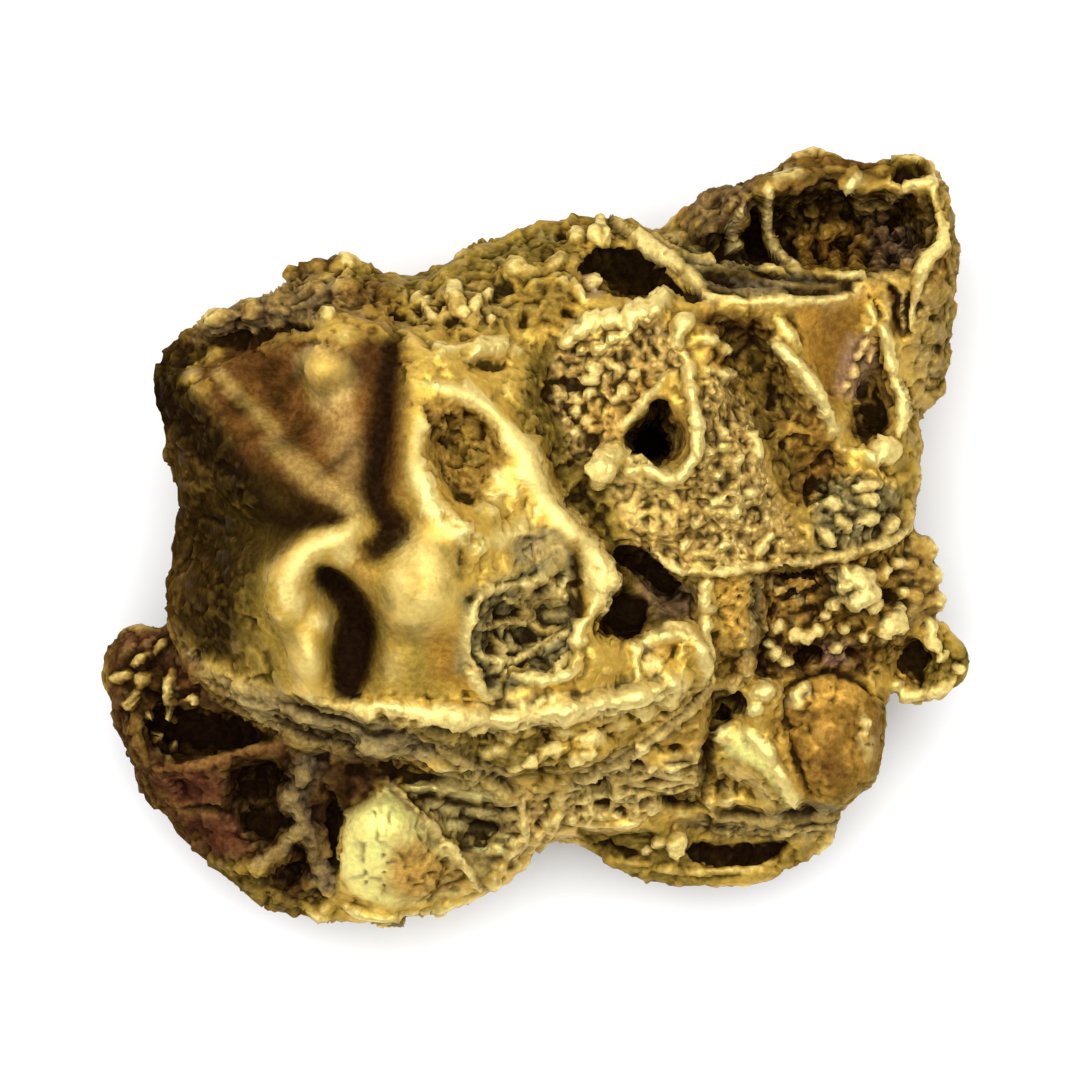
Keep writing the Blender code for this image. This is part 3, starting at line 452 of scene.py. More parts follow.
# Paths that more than one list uses.
SHOULDER_EDGE = ((0.93, 4.0), (1.29, 3.69), (1.84, 3.33), (2.11, 2.99))
BLOCK_TOP_EDGE = ((2.05, 3.03), (2.85, 2.97), (3.66, 3.0), (3.98, 3.13))
BOWL_INNER_RIM = ((2.86, 4.4), (2.84, 4.03), (2.89, 3.71), (3.05, 3.52), (3.22, 3.38))
BOWL_LEFT_RIM = ((2.56, 4.15), (2.4, 3.88), (2.42, 3.66))
BOWL_CUP_RIM = ((4.0, 4.2), (4.3, 4.2), (4.63, 4.42), (5.0, 4.47))
COLUMN_EDGE = ((2.7, -0.45), (2.73, -0.95), (2.62, -1.4), (2.48, -1.75), (2.1, -1.98))
LOWER_FORK = ((-2.84, -2.74), (-3.04, -3.06), (-3.1, -3.26), (-2.92, -3.5), (-2.8, -3.9),
              (-2.68, -4.3))
DROP_EDGE = ((-1.85, -3.08), (-1.5, -3.45), (-1.2, -3.78), (-0.76, -4.34))
PANEL_TOP = ((-0.67, -0.67), (-0.26, -0.54), (0.08, -0.42), (0.28, -0.17), (0.08, 0.04))
PANEL_SIDE = ((-0.67, -0.67), (-0.88, -1.0), (-0.88, -1.49), (-0.67, -1.99))
PANEL_THREAD = ((-0.75, -1.41), (-0.34, -1.49), (0.08, -1.25), (0.4, -1.16))
PANEL_FOOT = ((-0.38, -1.66), (0.08, -1.74), (0.49, -1.58))
ORANGE_PATCH = ((1.05, 0.8), (1.75, 0.75), (1.7, 0.3), (1.2, 0.2), (0.95, 0.5))
DOME = ((3.05, -2.2), (3.3, -1.75), (3.8, -1.65), (4.3, -2.0), (4.45, -2.6), (4.1, -3.1),
        (3.6, -3.45), (3.3, -3.3), (3.05, -2.8))


# Pits of the solid that are too deep. Each: place, half-widths, depth left.
DEEP_PITS = ((-0.88, 0.97, 0.33, 0.35, 0.1), (3.18, -0.65, 0.36, 0.26, 0.25))
# Places where the metal is rubbed or only stained. Each: rounds, softness of the edge, outline.
HEALED = (
    (150, 0.1, (-2.3, 2.6), (-1.6, 2.6), (-1.7, 0.5), (-1.5, 0.2), (-2.0, -0.3), (-1.9, -1.9),
     (-3.0, -2.0), (-3.1, -0.2), (-2.3, 0.2)),
    (120, 0.12, (-2.1, 0.1), (-1.3, 0.1), (-0.9, -0.3), (-1.0, -1.5), (-2.0, -1.7)),
    (60, 0.1, (-1.9, -2.9), (-2.3, -3.3), (-1.9, -3.6), (-1.5, -3.4)),
    (25, 0.05, (-1.92, -3.0), (-2.5, -3.5), (-2.5, -4.4), (-1.0, -4.4), (-1.5, -3.5)),
    (40, 0.08, (-3.9, -2.8), (-3.1, -2.6), (-3.0, -3.3), (-3.3, -3.9), (-3.9, -3.5)),
    (60, 0.06, (5.0, -1.0), (5.8, -1.0), (5.8, -2.1), (5.05, -2.0)),
    (40, 0.08, (4.6, 0.2), (5.2, 0.2), (5.3, -0.95), (4.65, -0.95)),
    (60, 0.08, (3.1, -1.8), (3.7, -1.6), (4.5, -1.8), (4.8, -2.6), (4.2, -3.4), (3.5, -3.5),
     (3.2, -2.8)),
    (50, 0.1, (-4.5, 2.2), (-4.2, 2.6), (-3.2, 2.75), (-2.6, 2.6), (-2.9, 2.35), (-4.0, 2.1)),
    (40, 0.08, (-1.6, 1.8), (-0.9, 1.8), (-0.2, 1.0), (-0.2, 0.2), (-0.9, 0.1), (-1.5, 0.5)),
    (100, 0.1, (4.2, 3.3), (4.7, 3.3), (4.7, 2.8), (4.2, 2.8)),
    (40, 0.08, (-0.9, 0.0), (0.5, 0.0), (0.5, -1.3), (-0.4, -2.0), (-1.0, -1.6)),
    (25, 0.08, (1.1, -1.1), (1.9, -1.1), (1.9, -1.8), (1.1, -1.7)),
    (25, 0.08, (3.7, 2.9), (4.4, 2.9), (4.5, 1.2), (3.8, 1.2)),
    (25, 0.08, (2.7, -0.3), (3.8, -0.3), (3.8, -1.0), (2.7, -1.0)),
)
# The lobe, from its rim to the ridge on its right, is rubbed once more when it has its forms.
RUBBED_LOBE = (14, 0.1, (-4.5, 2.4), (-1.7, 2.5), (0.0, 1.7), (0.9, 0.0), (0.7, -1.2), (-0.9, -0.5),
               (-1.0, -1.9), (-3.3, -2.0), (-3.8, -0.6))


def healed(skin):
    """Smooth away the solid's hard edges and its deepest pits."""
    for pit in DEEP_PITS:
        skin.fill(*pit)
    for rounds, softness, *outline in HEALED:
        skin.heal(rounds, softness, *outline)


# Grooves. Each: half-width, depth, how dark (dirt and painted shade), kind of edge, corners.
GROOVES = (
    # The lobe: cleft, dark valley beside the C-shaped seam, groove under the rim, pocket, panel.
    (0.28, 0.2, 0.5, SOFT, (-1.8, 2.45), (-1.92, 1.84), (-2.0, 1.3), (-2.05, 0.7), (-2.0, 0.2)),
    (0.09, 0.2, 0.9, SOFT, (-1.83, 2.35), (-1.93, 1.8), (-1.99, 1.3), (-2.06, 0.7), (-2.02, 0.3)),
    (0.4, 0.25, 0.9, SOFT, (-1.95, 0.5), (-1.85, 0.1), (-2.1, -0.25)),
    (0.22, 0.15, 1.0, SOFT, (-2.68, -0.38), (-2.45, -0.65), (-2.22, -0.95), (-2.12, -1.3)),
    (0.3, 0.2, 0.9, SOFT, (-2.38, -0.9), (-2.32, -1.5), (-2.35, -1.95)),
    (0.07, 0.14, 0.9, HARD, (-4.45, 2.2), (-4.1, 2.42), (-3.5, 2.52), (-3.1, 2.64), (-2.85, 2.64)),
    (0.3, 0.1, 0.3, SOFT, (-3.35, 1.95), (-3.15, 1.65), (-2.95, 1.3)),
    (0.14, 0.14, 0.9, SOFT, (-0.95, 1.62), (-0.6, 1.4), (-0.42, 1.05)),
    (0.12, 0.12, 0.9, SOFT, (-1.1, 0.75), (-0.85, 0.5), (-0.72, 0.65)),
    (0.12, 0.2, 1.0, SOFT, (0.42, 0.0), (0.48, -0.4), (0.45, -0.9)),
    (0.14, 0.2, 1.0, HARD, (0.95, -0.2), (1.25, -0.3), (1.6, -0.55)),
    (0.07, 0.12, 0.8, HARD, (-0.95, 2.17), (-0.38, 2.18)),
    # The shoulder and its dark hollow.
    (0.2, 0.25, 1.0, HARD, (0.55, 3.4), (0.95, 3.5), (1.3, 3.3), (1.6, 3.15)),
    (0.2, 0.2, 1.0, HARD, (0.85, 3.2), (1.2, 3.15), (1.5, 3.2)),
    (0.09, 0.15, 1.0, HARD, (1.5, 3.2), (1.8, 3.08), (2.0, 3.0)),
    # The angular block.
    (0.09, 0.12, 0.9, HARD, (4.2, 2.5), (4.28, 2.1), (4.33, 1.7)),
    (0.06, 0.1, 1.0, HARD, (4.32, 3.2), (4.45, 3.02), (4.42, 2.8), (4.5, 2.6)),
    (0.05, 0.1, 1.0, HARD, (4.58, 3.1), (4.55, 2.85), (4.6, 2.55)),
    (0.04, 0.08, 1.0, HARD, (4.1, 3.05), (4.22, 2.85), (4.2, 2.65)),
    # The bowl.
    (0.13, 0.2, 1.0, HARD, (1.95, 3.75), (2.3, 3.62), (2.9, 3.48)),
    (0.12, 0.15, 1.0, HARD, (2.7, 4.1), (2.68, 3.85), (2.75, 3.6)),
    (0.08, 0.15, 1.0, HARD, (3.5, 3.95), (3.45, 3.7), (3.5, 3.4)),
    (0.12, 0.15, 1.0, HARD, (3.3, 4.3), (3.6, 4.35), (3.9, 4.2)),
    (0.1, 0.15, 1.0, HARD, (4.85, 4.2), (4.87, 3.9), (4.75, 3.65)),
    (0.05, 0.1, 1.0, HARD, (2.0, 3.3), (2.25, 3.26), (2.4, 3.22)),
    (0.04, 0.08, 1.0, HARD, (3.1, 3.07), (3.4, 3.06), (3.7, 3.08)),
    # The crumbly ground.
    (0.1, 0.12, 0.9, HARD, (2.8, -0.42), (3.2, -0.4), (3.6, -0.55)),
    (0.1, 0.15, 1.0, HARD, (3.15, -1.55), (3.35, -1.42), (3.5, -1.5)),
    (0.07, 0.15, 1.0, HARD, (2.78, -1.15), (2.72, -1.5), (2.7, -1.65)),
    (0.13, 0.2, 1.0, HARD, (2.18, -1.95), (2.4, -2.0), (2.5, -2.15)),
    (0.07, 0.2, 1.0, HARD, (2.2, -2.2), (2.15, -2.5), (2.05, -2.75), (2.02, -3.2)),
    (0.12, 0.2, 1.0, HARD, (1.55, -3.25), (1.8, -3.3), (2.05, -3.35)),
    (0.14, 0.25, 1.0, HARD, (1.9, -3.9), (2.45, -3.95), (3.05, -3.88)),
    (0.12, 0.15, 0.7, HARD, (0.7, -3.85), (0.95, -3.9), (1.2, -3.95)),
    (0.04, 0.1, 1.0, HARD, (1.15, -3.13), (1.6, -3.17), (2.0, -3.14)),
    (0.08, 0.1, 0.5, SOFT, (3.02, -1.95), (3.08, -2.4), (3.2, -2.8), (3.35, -3.2)),
    (0.07, 0.08, 0.6, SOFT, (3.05, -1.9), (3.4, -1.68), (3.9, -1.72), (4.25, -2.0)),
    # The lower block.
    (0.25, 0.3, 1.0, HARD, (-4.85, -2.3), (-4.3, -2.4), (-3.7, -2.4), (-3.3, -2.45)),
    (0.07, 0.15, 1.0, HARD, (-5.2, -1.55), (-5.0, -1.65), (-4.8, -1.5)),
    (0.08, 0.15, 1.0, HARD, (-4.9, -1.9), (-4.75, -2.1), (-4.85, -2.3)),
    (0.05, 0.12, 1.0, HARD, (-4.5, -3.38), (-4.2, -3.36), (-3.95, -3.42)),
    (0.15, 0.15, 0.9, HARD, (-3.2, -4.25), (-2.95, -4.1), (-2.9, -3.85)),
    (0.1, 0.15, 0.9, HARD, (-2.62, -3.2), (-2.58, -3.6), (-2.6, -4.2)),
    (0.12, 0.12, 1.0, HARD, (-2.4, -2.9), (-1.9, -2.92), (-1.4, -2.98)),
)
# Hollows. Each: place, half-widths, depth, turn in degrees, how dark (dirt and painted shade).
DIPS = (
    # The lobe.
    (-0.95, 1.2, 0.42, 0.5, 0.06, 20, 0.15),
    (-0.96, -0.25, 0.09, 0.17, 0.16, 0, 0.8),
    (1.02, -0.92, 0.33, 0.33, 0.2, 0, 1.0),
    (1.64, -1.38, 0.08, 0.1, 0.16, 0, 1.0),
    (-1.2, -1.4, 0.2, 0.25, 0.05, 0, 0.35),
    # The angular block.
    (1.35, 1.2, 0.26, 0.28, 0.4, -30, 1.0),
    (1.47, 1.55, 0.12, 0.2, 0.3, -20, 1.0),
    (4.1, 1.55, 0.22, 0.35, 0.2, 6, 0.85),
    # The bowl.
    (3.77, 3.71, 0.07, 0.08, 0.2, 0, 1.0),
    (4.56, 4.6, 0.28, 0.15, 0.22, 10, 1.0),
    # The crumbly ground.
    (4.33, -0.67, 0.12, 0.1, 0.2, 0, 1.0),
    (3.92, -1.44, 0.09, 0.1, 0.22, 0, 1.0),
    (4.7, -1.5, 0.22, 0.24, 0.14, 0, 0.6),
    (1.7, -2.62, 0.09, 0.08, 0.16, 0, 1.0),
    # The lower block.
    (-3.45, -3.05, 0.38, 0.28, 0.2, 12, 1.0),
    (-3.4, -3.55, 0.35, 0.28, 0.2, -12, 1.0),
)


def hollows(skin):
    for width, depth, dirt_and_shade, edge, *corners in GROOVES:
        skin.slot(width, depth, *corners, dirt_and_shade=dirt_and_shade, soft=edge)
    for x, y, wide, long, depth, turn, dirt_and_shade in DIPS:
        skin.dip(x, y, wide, long, depth, turn, dirt_and_shade)
    # The shoulder and its dark hollow.
    for x, y, wide, long in (
        (-1.78, 2.85, 0.13, 0.2), (-1.28, 2.97, 0.12, 0.1), (-1.1, 2.72, 0.12, 0.08),
        (-0.42, 3.15, 0.13, 0.12), (0.26, 3.84, 0.09, 0.09), (-0.2, 2.72, 0.08, 0.12),
        (-0.85, 3.15, 0.1, 0.06), (0.35, 2.83, 0.1, 0.08), (-1.5, 2.85, 0.07, 0.1),
    ):
        skin.dip(x, y, wide, long, 0.13, dirt_and_shade=0.85)
    # The crumbly ground.
    for x, y, wide in ((0.76, -3.32, 0.1), (1.05, -3.42, 0.09), (1.3, -3.28, 0.08),
                       (0.52, -3.38, 0.07), (-0.28, -3.44, 0.1), (-0.3, -3.72, 0.08),
                       (0.1, -3.3, 0.06), (0.0, -3.6, 0.06)):
        skin.dip(x, y, wide, 0.07, 0.12)


# Raised seams. Each: half-width, height, how bright (rubbed metal and painted highlight), kind of
# edge, corners.
SEAMS = (
    # The lobe.
    (0.2, 0.16, 0.8, SOFT, (-2.2, 0.18), (-2.55, 0.02), (-2.85, -0.15), (-3.08, -0.45),
     (-3.1, -0.8)),
    (0.14, 0.05, 0.3, SOFT, (-4.0, 2.1), (-3.66, 1.71), (-3.25, 1.36)),
    (0.24, 0.1, 0.2, SOFT, (-3.3, 1.2), (-2.66, 0.66), (-2.15, 0.3)),
    (0.2, 0.17, 1.0, SOFT, (-1.3, 1.93), (-0.83, 1.75), (-0.48, 1.4), (-0.18, 1.01), (0.0, 0.58),
     (0.35, 0.18), (0.61, -0.12), (0.74, -0.43), (0.65, -0.82), (0.45, -1.2)),
    (0.16, 0.14, 0.85, SOFT, (-1.5, 1.45), (-1.53, 0.9), (-1.32, 0.36), (-1.05, 0.1), (-0.7, -0.02),
     (-0.3, 0.14), (0.0, 0.45)),
    (0.14, 0.07, 0.7, SOFT, (-1.4, 2.3), (-1.1, 2.36), (-0.6, 2.37), (-0.25, 2.36)),
    (0.17, 0.14, 1.0, SOFT, (-2.3, -2.06), (-1.2, -2.15), (-0.4, -2.17), (0.22, -2.08), (0.8, -2.0),
     (1.25, -1.9), (1.67, -1.8)),
    (0.08, 0.09, 0.35, HARD, (-0.05, -3.12), (0.43, -3.05), (0.96, -2.77), (1.58, -2.36),
     (2.05, -1.95), (2.14, -1.7)),
    (0.05, 0.06, 0.35, HARD, (0.5, -2.9), (0.96, -2.68), (1.5, -2.28), (1.9, -1.95)),
    (0.13, 0.08, 0.25, HARD, (-4.6, -1.1), (-4.28, -1.6), (-3.68, -1.8), (-2.8, -1.98),
     (-1.6, -2.25), (-1.2, -2.45), (-0.7, -2.5)),
    (0.1, 0.08, 0.35, HARD, (-4.5, -1.35), (-4.08, -1.86), (-3.6, -2.2), (-3.04, -2.5),
     (-2.4, -2.6)),
    (0.09, 0.07, 0.3, HARD, (-1.6, -2.3), (-1.1, -2.68), (-0.6, -3.03), (-0.28, -3.28)),
    (0.13, 0.12, 0.5, SOFT, (1.55, -1.1), (1.83, -1.17), (2.03, -1.5), (1.95, -1.85)),
    (0.08, 0.09, 0.8, HARD, (1.22, -1.7), (1.2, -1.35), (1.4, -1.2), (1.7, -1.22)),
    (0.07, 0.1, 0.45, HARD, (0.2, -0.1), (-0.31, -0.38), (-0.74, -0.69), (-0.92, -1.2),
     (-0.83, -1.73), (-0.57, -2.03)),
    (0.06, 0.08, 0.3, HARD, (-0.74, -1.1), (-0.35, -1.05), (0.0, -0.75), (0.3, -0.6)),
    (0.06, 0.08, 0.7, HARD, (-0.5, -1.75), (-0.35, -1.6), (0.13, -1.67), (0.35, -1.4)),
    (0.05, 0.08, 0.3, HARD, (-0.6, -1.45), (-0.2, -1.3), (0.2, -1.2), (0.4, -1.0)),
    (0.05, 0.07, 0.3, HARD, (-0.3, -0.5), (-0.1, -0.75), (0.1, -0.9)),
    # The shoulder.
    (0.09, 0.12, 0.5, HARD, (-0.5, 3.45), (-0.2, 3.33), (0.08, 3.36), (0.32, 3.55)),
    (0.1, 0.12, 0.35, HARD, *SHOULDER_EDGE),
    (0.05, 0.06, 0.3, HARD, (1.1, 4.0), (1.45, 3.75), (1.9, 3.5)),
    (0.08, 0.09, 0.5, HARD, (-0.2, 3.12), (0.17, 3.24), (0.44, 3.11), (0.56, 2.95)),
    (0.06, 0.05, 0.3, HARD, (-0.9, 3.55), (-0.4, 3.75), (0.1, 3.95), (0.6, 4.02)),
    (0.07, 0.1, 0.4, HARD, (0.8, 3.62), (0.88, 3.45)),
    # The angular block.
    (0.06, 0.06, 1.0, HARD, (0.3, 2.42), (0.6, 2.68), (1.1, 2.74), (1.55, 3.0)),
    (0.09, 0.17, 0.95, HARD, (1.78, 2.35), (1.84, 2.15), (1.87, 1.87), (1.93, 1.56), (1.99, 1.29),
     (1.88, 0.95), (1.66, 0.77), (1.38, 0.83), (1.11, 0.99), (0.93, 1.08)),
    (0.07, 0.06, 0.45, HARD, (0.98, 1.38), (1.25, 1.68), (1.58, 2.05)),
    (0.09, 0.1, 0.9, HARD, (2.92, 2.78), (3.08, 2.6), (3.22, 2.42)),
    (0.08, 0.13, 1.0, HARD, (2.95, 2.42), (3.27, 2.1), (3.47, 1.74), (3.6, 1.52), (3.68, 1.36)),
    (0.07, 0.1, 0.4, HARD, (4.08, 2.9), (4.31, 2.52), (4.4, 2.0)),
    (0.08, 0.12, 0.8, HARD, (4.41, 2.05), (4.5, 1.7), (4.47, 1.3)),
    (0.08, 0.06, 0.3, HARD, (4.72, 1.55), (4.76, 1.1), (4.65, 0.6), (4.6, 0.2)),
    (0.07, 0.08, 0.6, HARD, (1.4, -0.15), (1.9, -0.42), (2.5, -0.35), (3.1, -0.3), (3.7, -0.2),
     (4.2, -0.05), (4.55, 0.12), (4.65, 0.3)),
    (0.06, 0.07, 0.6, HARD, *BLOCK_TOP_EDGE),
    # The bowl.
    (0.08, 0.13, 0.55, HARD, (4.9, 4.55), (4.9, 4.25), (4.97, 3.95), (5.0, 3.7), (4.87, 3.5),
     (4.75, 3.32), (4.66, 2.9), (4.63, 2.65)),
    (0.07, 0.1, 0.65, HARD, *BOWL_INNER_RIM),
    (0.07, 0.1, 0.4, HARD, *BOWL_LEFT_RIM),
    (0.06, 0.08, 1.0, HARD, (3.82, 4.35), (3.93, 4.48)),
    (0.08, 0.08, 0.3, HARD, *BOWL_CUP_RIM),
    (0.05, 0.07, 0.3, HARD, (1.7, 3.62), (1.95, 3.52), (2.69, 3.42), (3.14, 3.26)),
    (0.045, 0.06, 0.15, HARD, (1.9, 3.4), (2.3, 3.36), (2.9, 3.2), (3.4, 3.14), (3.9, 3.2)),
    (0.04, 0.05, 0.15, HARD, (2.0, 3.16), (2.5, 3.12), (3.0, 3.08)),
    (0.05, 0.06, 0.3, HARD, (3.4, 3.34), (3.7, 3.3), (4.05, 3.28)),
    # The crumbly ground and the far knobs.
    (0.09, 0.1, 0.3, HARD, *COLUMN_EDGE),
    (0.1, 0.1, 0.9, HARD, (2.08, -0.45), (2.06, -0.75), (2.05, -1.25), (2.1, -1.6)),
    (0.08, 0.1, 0.8, HARD, (4.88, -1.0), (4.93, -1.3), (5.03, -1.42)),
    (0.08, 0.1, 0.7, HARD, (4.5, -1.85), (4.73, -1.96), (5.0, -1.88), (5.2, -1.72)),
    (0.08, 0.08, 0.4, HARD, (2.9, -1.75), (2.97, -2.0), (2.98, -2.3), (3.1, -2.6)),
    (0.1, 0.1, 1.0, HARD, (2.55, -2.35), (2.85, -2.65), (3.05, -3.0), (3.2, -3.3)),
    (0.06, 0.08, 0.4, HARD, (1.45, -2.15), (1.75, -2.35), (1.95, -2.3)),
    (0.06, 0.07, 0.6, HARD, (0.3, -3.55), (0.8, -3.58), (1.2, -3.54), (1.45, -3.35)),
    (0.05, 0.06, 0.5, HARD, (0.4, -3.3), (0.7, -3.2), (1.1, -3.2), (1.5, -3.15)),
    (0.05, 0.06, 0.6, HARD, (0.62, -3.22), (0.66, -3.45), (0.9, -3.5)),
    (0.05, 0.06, 0.6, HARD, (0.92, -3.25), (0.92, -3.45), (1.2, -3.45), (1.2, -3.3)),
    (0.08, 0.08, 0.3, HARD, (2.1, -3.45), (2.35, -3.5), (3.0, -3.52), (3.75, -3.45)),
    (0.05, 0.06, 0.3, HARD, (2.05, -3.6), (2.6, -3.68), (3.1, -3.66), (3.7, -3.6)),
    (0.06, 0.06, 0.3, HARD, (0.9, -4.0), (1.5, -4.12), (2.2, -4.18), (3.0, -4.08)),
    (0.1, 0.08, 0.4, HARD, (0.25, -3.1), (0.2, -3.4), (0.0, -3.75), (-0.3, -4.1)),
    # The lower block.
    (0.08, 0.08, 0.1, HARD, (-5.08, -2.2), (-5.03, -2.5), (-4.92, -2.82)),
    (0.06, 0.1, 0.12, HARD, (-4.85, -2.87), (-4.5, -2.85), (-4.0, -2.74), (-3.6, -2.62),
     (-3.1, -2.5)),
    (0.12, 0.14, 0.12, HARD, *LOWER_FORK),
    (0.11, 0.11, 0.25, HARD, (-2.96, -3.55), (-3.24, -3.86), (-3.52, -4.06), (-3.8, -4.1)),
    (0.1, 0.1, 0.3, HARD, (-2.95, -4.35), (-2.75, -4.3), (-2.62, -4.5), (-2.8, -4.68),
     (-3.0, -4.55)),
    (0.07, 0.09, 0.45, HARD, *DROP_EDGE),
    (0.1, 0.07, 0.5, HARD, (-0.22, -3.3), (-0.22, -3.7), (-0.48, -4.1), (-0.62, -4.38)),
    (0.07, 0.07, 0.6, HARD, (-2.48, -4.58), (-2.0, -4.74), (-1.4, -4.68), (-0.8, -4.45)),
)
# Knobs. Each: place, half-widths, height, turn in degrees, how bright (rubbed metal and painted
# highlight), kind of edge.
KNOBS = (
    # The lobe.
    (-2.42, -0.1, 0.15, 0.22, 0.12, 0, 0.95, SOFT),
    (-3.25, -0.85, 0.3, 0.45, 0.12, -12, 0.35, SOFT),
    (-2.85, -1.5, 0.16, 0.5, 0.14, 8, 0.7, SOFT),
    (-3.2, -1.45, 0.2, 0.3, 0.08, 15, 0.25, SOFT),
    (-3.02, -0.76, 0.17, 0.15, 0.2, 0, 1.0, SOFT),
    (-2.74, -1.03, 0.17, 0.14, 0.16, 0, 1.0, SOFT),
    (-1.52, -0.58, 0.55, 0.66, 0.12, 0, 0.6, SOFT),
    (-2.66, 2.08, 0.34, 0.34, 0.07, 0, 0.4, SOFT),
    (0.72, -0.45, 0.2, 0.27, 0.22, 0, 1.0, SOFT),
    (-0.12, 0.8, 0.2, 0.3, 0.2, 30, 1.0, SOFT),
    (-0.4, 1.25, 0.15, 0.25, 0.19, 35, 1.0, SOFT),
    (0.5, 0.05, 0.18, 0.22, 0.2, 35, 1.0, SOFT),
    (0.5, -1.25, 0.13, 0.1, 0.08, 0, 0.9, HARD),
    (-1.47, 1.36, 0.12, 0.16, 0.06, 0, 0.9, HARD),
    (-0.88, 1.25, 0.15, 0.2, 0.1, 0, 0.45, HARD),
    (-0.9, 0.9, 0.16, 0.14, 0.12, 0, 0.2, HARD),
    (-1.15, 1.0, 0.14, 0.14, 0.08, 0, 0.35, HARD),
    (-1.2, 1.4, 0.12, 0.12, 0.06, 0, 0.2, HARD),
    (-1.05, 0.7, 0.12, 0.12, 0.08, 0, 0.3, HARD),
    (1.4, -1.55, 0.17, 0.17, 0.1, 0, 0.9, HARD),
    (-2.62, 2.8, 0.1, 0.1, 0.1, 0, 0.8, HARD),
    # The angular block.
    (0.76, 0.92, 0.22, 0.22, 0.2, 0, 1.0, HARD),
    (0.93, 1.08, 0.16, 0.16, 0.14, 0, 1.0, HARD),
    (0.72, 0.74, 0.13, 0.13, 0.12, 0, 1.0, HARD),
    (4.3, 1.08, 0.26, 0.17, 0.12, 20, 1.0, HARD),
    # The bowl.
    (2.45, 3.68, 0.1, 0.1, 0.1, 0, 0.9, HARD),
    (3.72, 4.82, 0.1, 0.1, 0.06, 0, 0.7, HARD),
    # The crumbly ground and the far knobs.
    (2.3, -2.42, 0.1, 0.18, 0.07, -35, 0.9, HARD),
)


